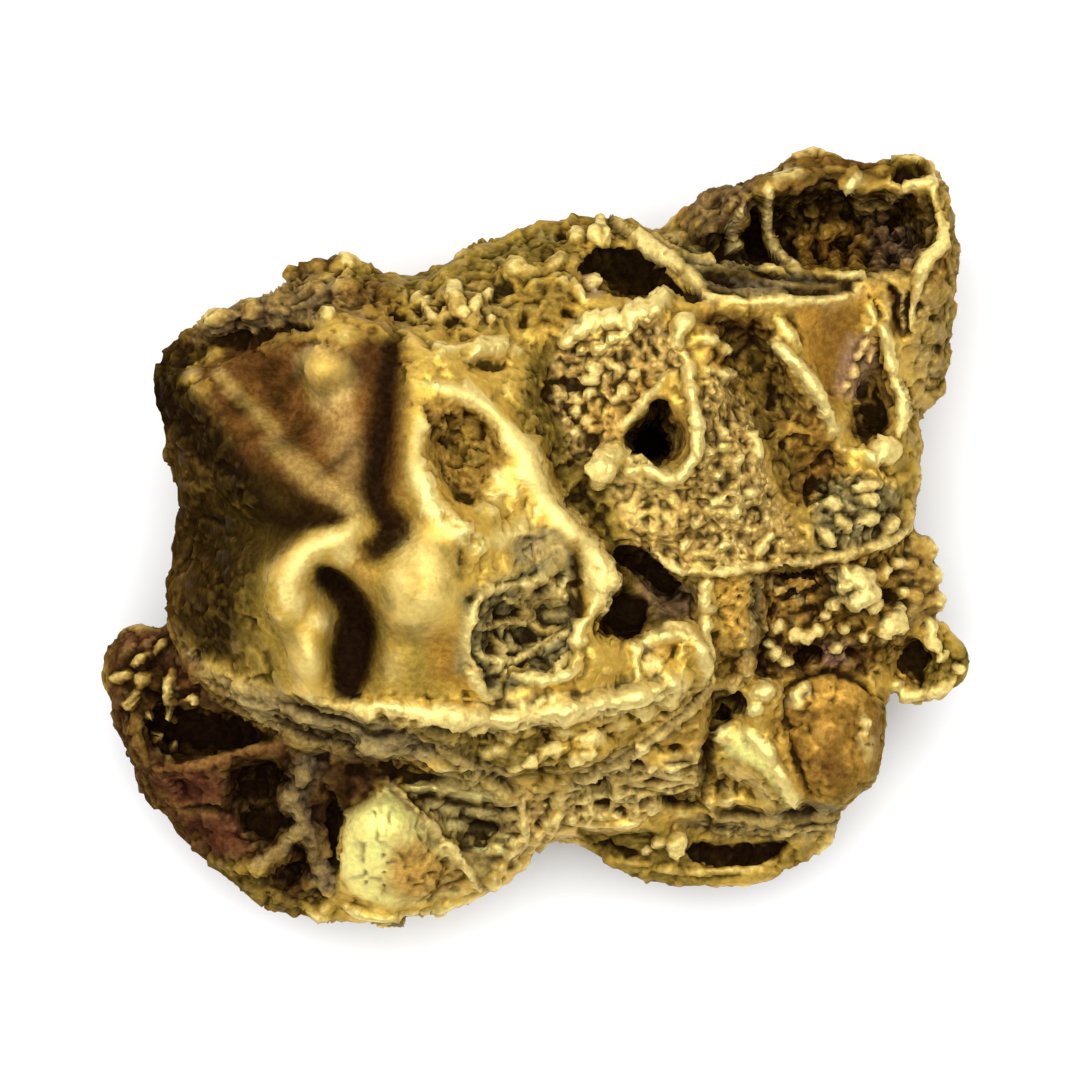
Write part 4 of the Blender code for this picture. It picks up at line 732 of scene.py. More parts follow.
def seams(skin):
    for width, height, shine, edge, *corners in SEAMS:
        skin.seam(width, height, *corners, shine=shine, soft=edge)
    for x, y, wide, long, height, turn, shine, edge in KNOBS:
        skin.knob(x, y, wide, height, long, turn, shine, edge)
    # The lobe.
    for x, y, wide in ((-1.35, -0.25, 0.28), (-1.75, -0.5, 0.27), (-1.4, -0.72, 0.27),
                       (-1.7, -0.95, 0.25), (-1.2, -0.5, 0.2), (-1.75, -1.45, 0.25)):
        skin.knob(x, y, wide, 0.13, shine=0.55, soft=True)
    for corners in (
        PANEL_SIDE, PANEL_TOP, PANEL_THREAD, PANEL_FOOT,
        ((-0.42, -0.75), (-0.15, -0.78), (0.08, -0.67), (0.41, -0.62)),
        ((-0.59, -1.08), (-0.17, -1.0), (0.02, -1.12), (0.24, -1.08)),
        ((-0.3, -0.55), (-0.2, -0.8), (-0.25, -1.0)), ((0.15, -0.5), (0.2, -0.75), (0.1, -0.95)),
        ((-0.6, -1.2), (-0.5, -1.35), (-0.55, -1.6)),
    ):
        skin.seam(0.075, 0.1, *corners, shine=0.6)
    for x, y, wide in (
        (-0.28, -2.41, 0.14), (0.3, -2.37, 0.12), (0.63, -2.45, 0.13), (0.95, -2.3, 0.12),
        (-0.75, -2.35, 0.1), (1.3, -2.12, 0.12), (0.1, -2.62, 0.1), (-0.1, -2.75, 0.1),
        (0.5, -2.7, 0.1), (-0.55, -2.62, 0.1), (1.6, -2.0, 0.1), (-0.3, -2.85, 0.08),
    ):
        skin.knob(x, y, wide * 1.7, 0.07, wide * 0.75, 18, shine=0.75)
    for x, y, wide, long in (
        (-4.05, 2.75, 0.22, 0.12), (-3.6, 2.85, 0.2, 0.13), (-3.2, 2.95, 0.22, 0.14),
        (-2.85, 3.1, 0.2, 0.14), (-2.4, 3.15, 0.2, 0.12), (-4.4, 2.55, 0.14, 0.1),
        (-3.18, 3.32, 0.16, 0.1), (-2.83, 3.42, 0.17, 0.1), (-2.48, 3.45, 0.15, 0.1),
    ):
        skin.knob(x, y, wide, 0.09, long, 18, shine=0.2)
    for x, y, wide in (
        (-0.55, 0.75, 0.1), (-0.35, 0.6, 0.1), (-0.5, 0.5, 0.1), (-0.68, 0.55, 0.09),
        (-0.42, 0.82, 0.08), (-0.6, 0.35, 0.09), (-0.3, 0.4, 0.09), (-0.75, 0.38, 0.07),
    ):
        skin.knob(x, y, 1.1 * wide, 0.12, shine=0.75)
    # The shoulder.
    for x, y, wide in (
        (0.76, 3.94, 0.09), (0.67, 3.81, 0.08), (0.84, 3.79, 0.08), (0.65, 3.2, 0.12),
        (-1.48, 3.0, 0.12), (-1.05, 3.12, 0.12), (-0.79, 2.93, 0.11), (-0.95, 2.85, 0.08),
        (-1.35, 2.8, 0.08), (-0.6, 2.75, 0.08), (-0.65, 3.05, 0.09), (0.45, 3.8, 0.1),
    ):
        skin.knob(x, y, wide, 0.09, shine=0.85)
    # The angular block.
    for x, y, wide in (
        (0.34, 2.45, 0.09), (0.48, 2.58, 0.09), (0.63, 2.71, 0.12), (0.87, 2.72, 0.12),
        (1.11, 2.75, 0.11), (1.28, 2.82, 0.09), (1.43, 2.9, 0.11), (1.55, 2.99, 0.1),
        (0.72, 2.38, 0.1), (0.93, 2.51, 0.09), (1.11, 2.63, 0.08), (0.52, 2.36, 0.07),
        (1.78, 2.69, 0.12), (1.69, 2.48, 0.1), (0.62, 1.83, 0.08), (0.95, 1.75, 0.07),
        (0.45, 1.6, 0.08), (1.15, 2.05, 0.08), (0.7, 2.1, 0.08), (0.42, 1.35, 0.08),
    ):
        skin.knob(x, y, 1.2 * wide, 0.14, wide, 20, shine=0.9)
    for corners in (
        ((1.98, 2.5), (2.22, 2.44)), ((2.15, 2.42), (2.35, 2.34)), ((0.6, 2.2), (0.75, 2.12)),
        ((0.5, 2.0), (0.72, 1.98)), ((0.85, 2.2), (1.05, 2.1)), ((0.4, 1.8), (0.5, 1.68)),
        ((0.55, 1.55), (0.6, 1.4)), ((1.0, 1.9), (1.1, 1.78)), ((0.2, 1.9), (0.32, 1.75)),
        ((2.6, 1.35), (2.75, 1.0)), ((3.97, 0.52), (4.2, 0.48)), ((3.7, 0.3), (3.85, 0.12)),
        ((3.55, 0.5), (3.75, 0.42)), ((4.0, 0.25), (4.2, 0.3)), ((3.9, 0.65), (4.15, 0.68)),
        ((3.5, 0.1), (3.65, -0.05)), ((4.3, 0.1), (4.4, 0.3)), ((2.2, 2.1), (2.4, 2.0)),
    ):
        skin.seam(0.085, 0.11, *corners, shine=0.85)
    for x, y, wide in ((1.84, 2.12, 0.13), (1.9, 1.85, 0.11), (1.96, 1.3, 0.1), (1.86, 0.93, 0.1),
                       (1.12, 0.85, 0.09), (1.3, 0.92, 0.08), (1.5, 0.8, 0.1), (1.62, 0.68, 0.08),
                       (2.42, 0.35, 0.13), (2.85, 0.05, 0.1), (2.2, 0.5, 0.1), (1.95, 0.2, 0.1),
                       (2.6, 0.6, 0.09), (2.3, -0.05, 0.1), (2.75, -0.1, 0.15), (1.8, -0.05, 0.1),
                       (2.1, 1.1, 0.08), (2.3, 1.35, 0.09), (2.45, 1.0, 0.08), (2.2, 0.8, 0.09)):
        skin.knob(x, y, wide, 0.1, 0.7 * wide, 40, shine=0.9)
    for x, y, wide in (
        (4.06, 2.44, 0.1), (3.98, 2.3, 0.09), (3.92, 2.1, 0.11), (3.8, 1.92, 0.09),
        (3.92, 1.74, 0.07), (4.12, 2.25, 0.07), (4.08, 2.62, 0.07), (3.98, 1.5, 0.07),
    ):
        skin.knob(x, y, wide, 0.09, wide * 0.7, 60, shine=0.5)
    # The bowl.
    for x, y, wide in (
        (3.27, 3.7, 0.13), (3.3, 3.5, 0.11), (3.6, 3.85, 0.13), (3.85, 3.9, 0.13),
        (3.7, 3.55, 0.12), (3.95, 3.55, 0.13), (4.0, 3.75, 0.1), (3.15, 4.15, 0.1),
        (3.4, 4.1, 0.09), (4.25, 3.5, 0.1), (4.4, 3.65, 0.1), (4.3, 3.85, 0.1), (4.5, 3.85, 0.08),
        (4.55, 3.55, 0.09), (4.3, 4.05, 0.08), (3.1, 3.85, 0.08), (4.6, 3.4, 0.08),
    ):
        skin.knob(x, y, wide, 0.11, shine=0.1)
    # The crumbly ground and the far knobs.
    for x, y, wide in (
        (2.07, -0.58, 0.1), (2.04, -1.22, 0.1), (2.08, -0.82, 0.08),
        (3.85, -0.42, 0.13), (4.02, -0.5, 0.12), (3.78, -0.6, 0.1), (4.08, -0.66, 0.12),
        (3.95, -0.75, 0.1), (4.15, -0.82, 0.1), (4.4, -1.02, 0.14), (4.3, -1.15, 0.1),
        (4.3, -0.4, 0.1), (4.48, -0.3, 0.08), (2.99, -1.09, 0.1), (3.2, -1.17, 0.1),
        (3.32, -1.2, 0.1), (3.46, -1.12, 0.1), (3.56, -0.95, 0.09), (3.64, -0.8, 0.08),
        (2.92, -1.42, 0.11), (3.04, -1.5, 0.08), (2.86, -1.3, 0.08), (3.7, -1.36, 0.1),
        (3.8, -1.1, 0.08), (4.05, -1.2, 0.09), (4.55, -0.65, 0.09), (4.5, -0.85, 0.08),
        (5.06, -1.46, 0.08), (4.48, -1.8, 0.08), (5.25, -1.6, 0.08), (2.78, -1.91, 0.13),
        (2.68, -2.08, 0.1), (2.82, -1.78, 0.08),
        (1.7, -3.78, 0.12), (1.7, -3.94, 0.1), (1.5, -3.8, 0.1), (1.35, -3.9, 0.08),
        (3.2, -1.92, 0.08), (3.3, -1.85, 0.07), (3.24, -2.05, 0.07), (4.06, -2.3, 0.06),
        (4.03, -2.42, 0.05), (0.4, -3.49, 0.08), (0.6, -3.45, 0.07), (1.4, -3.4, 0.08),
    ):
        skin.knob(x, y, 1.15 * wide, 1.2 * wide, wide, 30, shine=0.92)
    for x, y in ((3.02, -0.6), (3.3, -0.58), (3.18, -0.78), (3.45, -0.72), (3.16, -0.5)):
        skin.knob(x, y, 0.13, 0.13, 0.1, 35, shine=0.3)
    for x, y, wide in ((4.85, -0.47, 0.2), (4.8, -0.08, 0.22), (4.93, -0.78, 0.18),
                       (4.62, -0.3, 0.13), (4.68, -0.68, 0.12)):
        skin.knob(x, y, wide, 0.13, shine=0.2, soft=True)
    for y in (-2.82, -2.92, -3.02, -3.1):
        skin.seam(0.045, 0.06, (1.15, y - 0.03), (1.5, y - 0.02), (1.95, y + 0.03), shine=0.6)
    # The lower block.
    for x, y, wide, long, turn in (
        (-5.02, -1.48, 0.2, 0.08, 35), (-5.22, -1.7, 0.14, 0.08, 20), (-4.97, -1.74, 0.1, 0.1, 0),
        (-5.08, -2.0, 0.07, 0.18, -30), (-4.64, -1.86, 0.07, 0.28, -10),
        (-4.33, -1.98, 0.11, 0.1, 0), (-4.76, -1.33, 0.14, 0.07, 40), (-4.62, -2.15, 0.06, 0.14, 0),
        (-4.8, -2.5, 0.07, 0.06, 0), (-4.6, -2.6, 0.06, 0.05, 0), (-4.9, -2.2, 0.05, 0.08, 0),
    ):
        skin.knob(x, y, 0.9 * wide, 0.1, 0.85 * long, turn, shine=0.8)


# ---------------------------------------------------------------- grain

# Each: pattern, its size, its height, its direction, how gritty, softness of the edge, outline.
GROUND = (
    ('worms', 0.26, 0.08, 0, 1.0, 0.1, (0.9, 0.7), (1.5, 0.75), (1.95, 0.9), (2.05, 1.8),
     (2.1, 2.2), (2.6, 1.8), (2.75, 1.2), (3.0, 0.5), (3.4, -0.1), (3.3, -0.3), (1.9, -0.42),
     (1.2, -0.1), (0.9, 0.3)),
    ('worms', 0.3, 0.09, 0, 0.9, 0.1, (0.2, 2.4), (0.6, 2.55), (1.5, 2.9), (1.9, 2.4), (1.6, 2.0),
     (1.0, 1.4), (0.8, 1.05), (0.4, 1.1), (0.15, 1.7)),
    ('worms', 0.24, 0.09, 0, 0.9, 0.08, (3.4, 0.8), (4.3, 0.85), (4.6, 0.2), (4.2, -0.05),
     (3.4, -0.2)),
    ('grains', 0.2, 0.06, 0, 0.8, 0.1, (2.7, -0.35), (4.6, 0.0), (4.7, -1.2), (4.3, -1.7),
     (2.7, -1.7)),
    ('grains', 0.24, 0.09, 0, 0.9, 0.1, (2.0, 3.7), (2.8, 3.5), (4.7, 3.3), (4.9, 4.3), (3.3, 4.4),
     (2.2, 4.3)),
    ('worms', 0.4, 0.12, 0, 0.5, 0.08, (-0.9, -0.7), (-0.3, -0.4), (0.35, -0.4), (0.45, -1.2),
     (0.3, -1.6), (-0.5, -1.9), (-0.9, -1.6)),
    ('web', 0.2, 0.09, 0, 0.6, 0.06, (0.3, -3.2), (1.5, -3.1), (1.5, -3.4), (0.4, -3.6)),
    ('web', 0.2, 0.08, 0, 0.5, 0.08, (-0.35, -3.1), (0.3, -3.1), (0.2, -3.6), (-0.4, -4.1)),
    ('crumbs', 0.24, 0.05, 0, 0.5, 0.1, (-3.9, -2.8), (-3.0, -2.7), (-2.9, -3.6), (-3.6, -4.0),
     (-4.0, -3.5)),
    ('grains', 0.24, 0.08, 0, 0.7, 0.1, (-5.4, -1.2), (-4.6, -1.2), (-4.3, -2.0), (-4.6, -2.9),
     (-5.2, -2.6)),
    ('ribs', 0.1, 0.11, 8, 0.4, 0.06, (-1.7, -3.0), (-1.0, -2.85), (-0.3, -3.3), (-0.4, -3.9),
     (-0.7, -4.25)),
    ('ribs', 0.1, 0.05, -4, 0.4, 0.06, (1.8, 3.6), (3.0, 3.4), (4.0, 3.3), (3.9, 3.05),
     (2.1, 3.05)),
    ('ribs', 0.09, 0.05, 5, 0.4, 0.05, (1.1, -2.8), (2.0, -2.6), (2.0, -3.1), (1.1, -3.15)),
    ('ribs', 0.12, 0.08, -14, 0.3, 0.1, (-4.6, -1.2), (-3.6, -1.7), (-1.4, -2.2), (-0.3, -3.2),
     (-2.8, -2.7), (-3.8, -2.3)),
    ('ribs', 0.13, 0.05, 80, 0.3, 0.1, (-2.9, -2.9), (-2.2, -2.9), (-2.4, -3.5), (-2.5, -4.3),
     (-2.8, -4.0)),
    ('ribs', 0.1, 0.04, 3, 0.3, 0.06, (2.0, -3.4), (3.8, -3.3), (3.7, -3.75), (2.2, -3.75)),
    ('crumbs', 0.3, 0.08, 0, 0.5, 0.1, (-1.7, 3.1), (-0.4, 3.6), (0.8, 3.9), (0.3, 2.6),
     (-0.5, 2.6), (-1.6, 2.6)),
    ('ribs', 0.16, 0.07, -12, 0.4, 0.1, (-2.6, -2.15), (1.9, -1.9), (1.2, -2.6), (0.0, -3.0),
     (-1.2, -2.6)),
    ('crumbs', 0.3, 0.07, 0, 0.5, 0.1, (4.7, 3.3), (5.3, 4.0), (5.2, 2.0), (4.7, 1.7), (4.6, 2.6)),
    ('crumbs', 0.26, 0.07, 0, 0.5, 0.1, (-3.6, -4.0), (-2.8, -3.7), (-2.7, -4.7), (-4.0, -4.3)),
    ('crumbs', 0.3, 0.06, 0, 0.5, 0.1, (0.0, 2.3), (0.5, 1.9), (0.6, 1.0), (1.0, -0.2), (0.5, 0.0),
     (0.1, 1.0), (-0.3, 1.8)),
    ('crumbs', 0.22, 0.06, 0, 0.6, 0.1, (2.0, -0.45), (2.7, -0.4), (2.7, -1.8), (2.1, -1.9)),
    ('crumbs', 0.3, 0.08, 0, 0.4, 0.1, (4.6, -1.0), (5.1, -1.0), (5.5, -1.5), (5.0, -2.0),
     (4.5, -1.8)),
    ('crumbs', 0.3, 0.07, 0, 0.5, 0.1, (-4.8, 2.3), (-4.0, 2.95), (-2.3, 3.55), (-1.9, 3.0),
     (-2.7, 2.75), (-4.2, 2.45)),
    ('crumbs', 0.26, 0.09, 0, 0.6, 0.1, (2.0, 2.85), (2.9, 2.7), (3.3, 1.9), (3.85, 0.95),
     (3.2, 0.3), (2.85, 0.9), (2.6, 1.8), (2.15, 2.2)),
    ('crackle', 0.32, 0.05, 0, 0.15, 0.06, (-1.92, -3.2), (-2.35, -3.5), (-2.4, -4.3), (-1.9, -4.5),
     (-1.0, -4.4), (-1.5, -3.6)),
    ('crumbs', 0.22, 0.1, 0, 0.4, 0.08, (-1.4, 1.6), (-0.75, 1.6), (-0.55, 1.1), (-0.8, 0.6),
     (-1.25, 0.8)),
    ('crumbs', 0.24, 0.08, 0, 0.6, 0.05, (2.8, -0.4), (3.6, -0.4), (3.6, -0.9), (2.9, -0.95)),
    ('crumbs', 0.24, 0.05, 0, 0.5, 0.08, (2.15, -2.8), (2.7, -2.85), (3.1, -3.3), (2.2, -3.3)),
    ('worms', 0.2, 0.018, 0, 0.3, 0.1, (3.1, -1.9), (3.7, -1.7), (4.2, -2.2), (4.1, -2.8),
     (3.6, -3.3), (3.1, -2.8)),
)
# How much painted shade, with dirt, darkens a pattern's gaps and how much painted highlight
# lightens its tops, where that isn't 1.
GAP_DIRT_AND_SHADE = {"crackle": 2.2, "ribs": 1.7, "worms": 1.2}
TOP_HIGHLIGHT = {"crackle": 0, "crumbs": 0.2, "ribs": 0.6}
# Ground with less relief, or none. Each: how smooth, outline.
SMOOTH = (
    (0.6, (3.1, -1.9), (3.7, -1.7), (4.3, -2.2), (4.2, -2.9), (3.6, -3.3), (3.1, -2.8)),
    (1.0, (2.2, -2.6), (2.6, -2.2), (3.3, -3.3), (2.8, -3.0)),
    (1.0, (-1.9, -3.1), (-2.5, -3.6), (-2.4, -4.5), (-1.6, -4.6), (-1.5, -3.6)),
    (1.0, (-4.2, 2.1), (-2.2, 2.5), (-1.5, 1.9), (-1.5, 0.3), (-0.8, -0.3), (-1.0, -1.9),
     (-3.2, -1.9), (-3.6, -0.5), (-3.5, 0.6)),
    (1.0, (3.1, 3.0), (4.0, 3.0), (3.8, 1.7), (3.4, 2.2)),
    (1.0, (-4.5, -2.1), (-3.9, -2.1), (-3.2, -2.5), (-3.9, -2.7), (-4.6, -2.75)),
    (1.0, (5.05, -1.1), (5.6, -1.1), (5.6, -1.9), (5.1, -1.9)),
    (0.7, (0.95, 0.95), (1.8, 0.8), (1.7, 0.2), (1.1, 0.1), (0.9, 0.5)),
    (1.0, (-1.2, 1.9), (-0.3, 1.6), (0.3, 0.4), (0.8, -0.2), (0.6, -0.9), (0.2, 0.1), (-0.5, 1.1)),
)


def pattern(kind, points, size, turn, salt):
    """Relief of this kind, from about -0.6 to 0.5."""
    if kind == "ribs":
        c, s = math.cos(math.radians(turn)), math.sin(math.radians(turn))
        turned = points @ np.array([[c, -s, 0], [s, c, 0], [0, 0, 1]])
        return 0.4 * np.clip(2 * waves(turned * np.array([0.16, 1, 0.5]), size, salt), -1, 1)
    if kind == "crumbs":
        return 0.5 * crystals(points, size, salt) + 0.5 * (pebbles(points, size, salt) - 0.5)
    if kind == "worms":
        crumb = pebbles(points, 0.6 * size, salt + 3)
        return 0.45 * worms(points, size, salt) + 0.7 * crumb - 0.5
    field = pebbles(points, size, salt)
    if kind == "web":
        return 0.4 - field
    return np.minimum(field - 0.38, 0) if kind == "crackle" else field - 0.5


# Down a steep wall the patterns are drawn out, so that they don't ring it.
WALL_STRETCH = np.array([1, 1, 0.4])


def grain_relief(skin):
    """Fine relief, rougher in some regions than in others."""
    points, seen = skin.points, skin.seen
    hidden = 1 - seen
    flat = points * WALL_STRETCH
    coarse = step_up(-0.1, 0.5, rough(points, 1.3, 40))
    smooth = np.zeros(len(points))
    for strength, *outline in SMOOTH:
        smooth = np.maximum(smooth, strength * skin.inside(0.12, *outline))
    lift = 0.045 * rough(points, 0.45, 3) * (1 - 0.7 * smooth)
    faced = np.where(seen[:, None] > 0.3, flat, points)
    lift += 0.05 * crystals(faced, 0.42, 30) * (1 - 0.85 * smooth)
    lift += 0.03 * crystals(faced, 0.2, 31) * (1 - 0.95 * smooth)
    grit = hidden * (0.3 + 0.5 * coarse) + 0.15
    skin.gaps = np.zeros(len(points))
    skin.tops = np.zeros(len(points))
    bent = warped(flat, 0.35, 0.35, 90)
    for row, (kind, size, height, turn, gritty, soft, *outline) in enumerate(GROUND):
        share = skin.inside(soft, *outline) * seen * (1 - 0.7 * skin.clean)
        at = np.nonzero(share > 0)[0]
        relief = pattern(kind, bent[at], size, turn, 100 + row)
        lift[at] += height * relief * share[at]
        grit = np.maximum(grit, gritty * share)
        # The pattern's gaps take painted shade and dirt, its tops a painted highlight.
        low = share[at] * step_up(0.1, 0.45, -relief)
        skin.gaps[at] = np.maximum(skin.gaps[at], low * GAP_DIRT_AND_SHADE.get(kind, 1))
        high = share[at] * step_up(0.0, 0.3, relief) * TOP_HIGHLIGHT.get(kind, 1)
        skin.tops[at] = np.maximum(skin.tops[at], high)
    lift += 0.09 * (pebbles(points, 0.3, 10) - 0.6) * hidden * coarse
    lift += 0.03 * (pebbles(points, 0.16, 12) - 0.6) * hidden
    skin.coarse = np.clip(grit, 0, 1) * (1 - 0.85 * smooth)
    skin.smooth = smooth
    put_points(skin.mesh, skin.points + skin.way * lift[:, None])
    skin.start()


def hollowness(skin, rounds):
    """How far each point lies inside the surface around it, in millimetres."""
    around = spread(skin.points, skin.edges, rounds)
    return ((around - skin.points) * skin.normals).sum(1)


# ---------------------------------------------------------------- colour

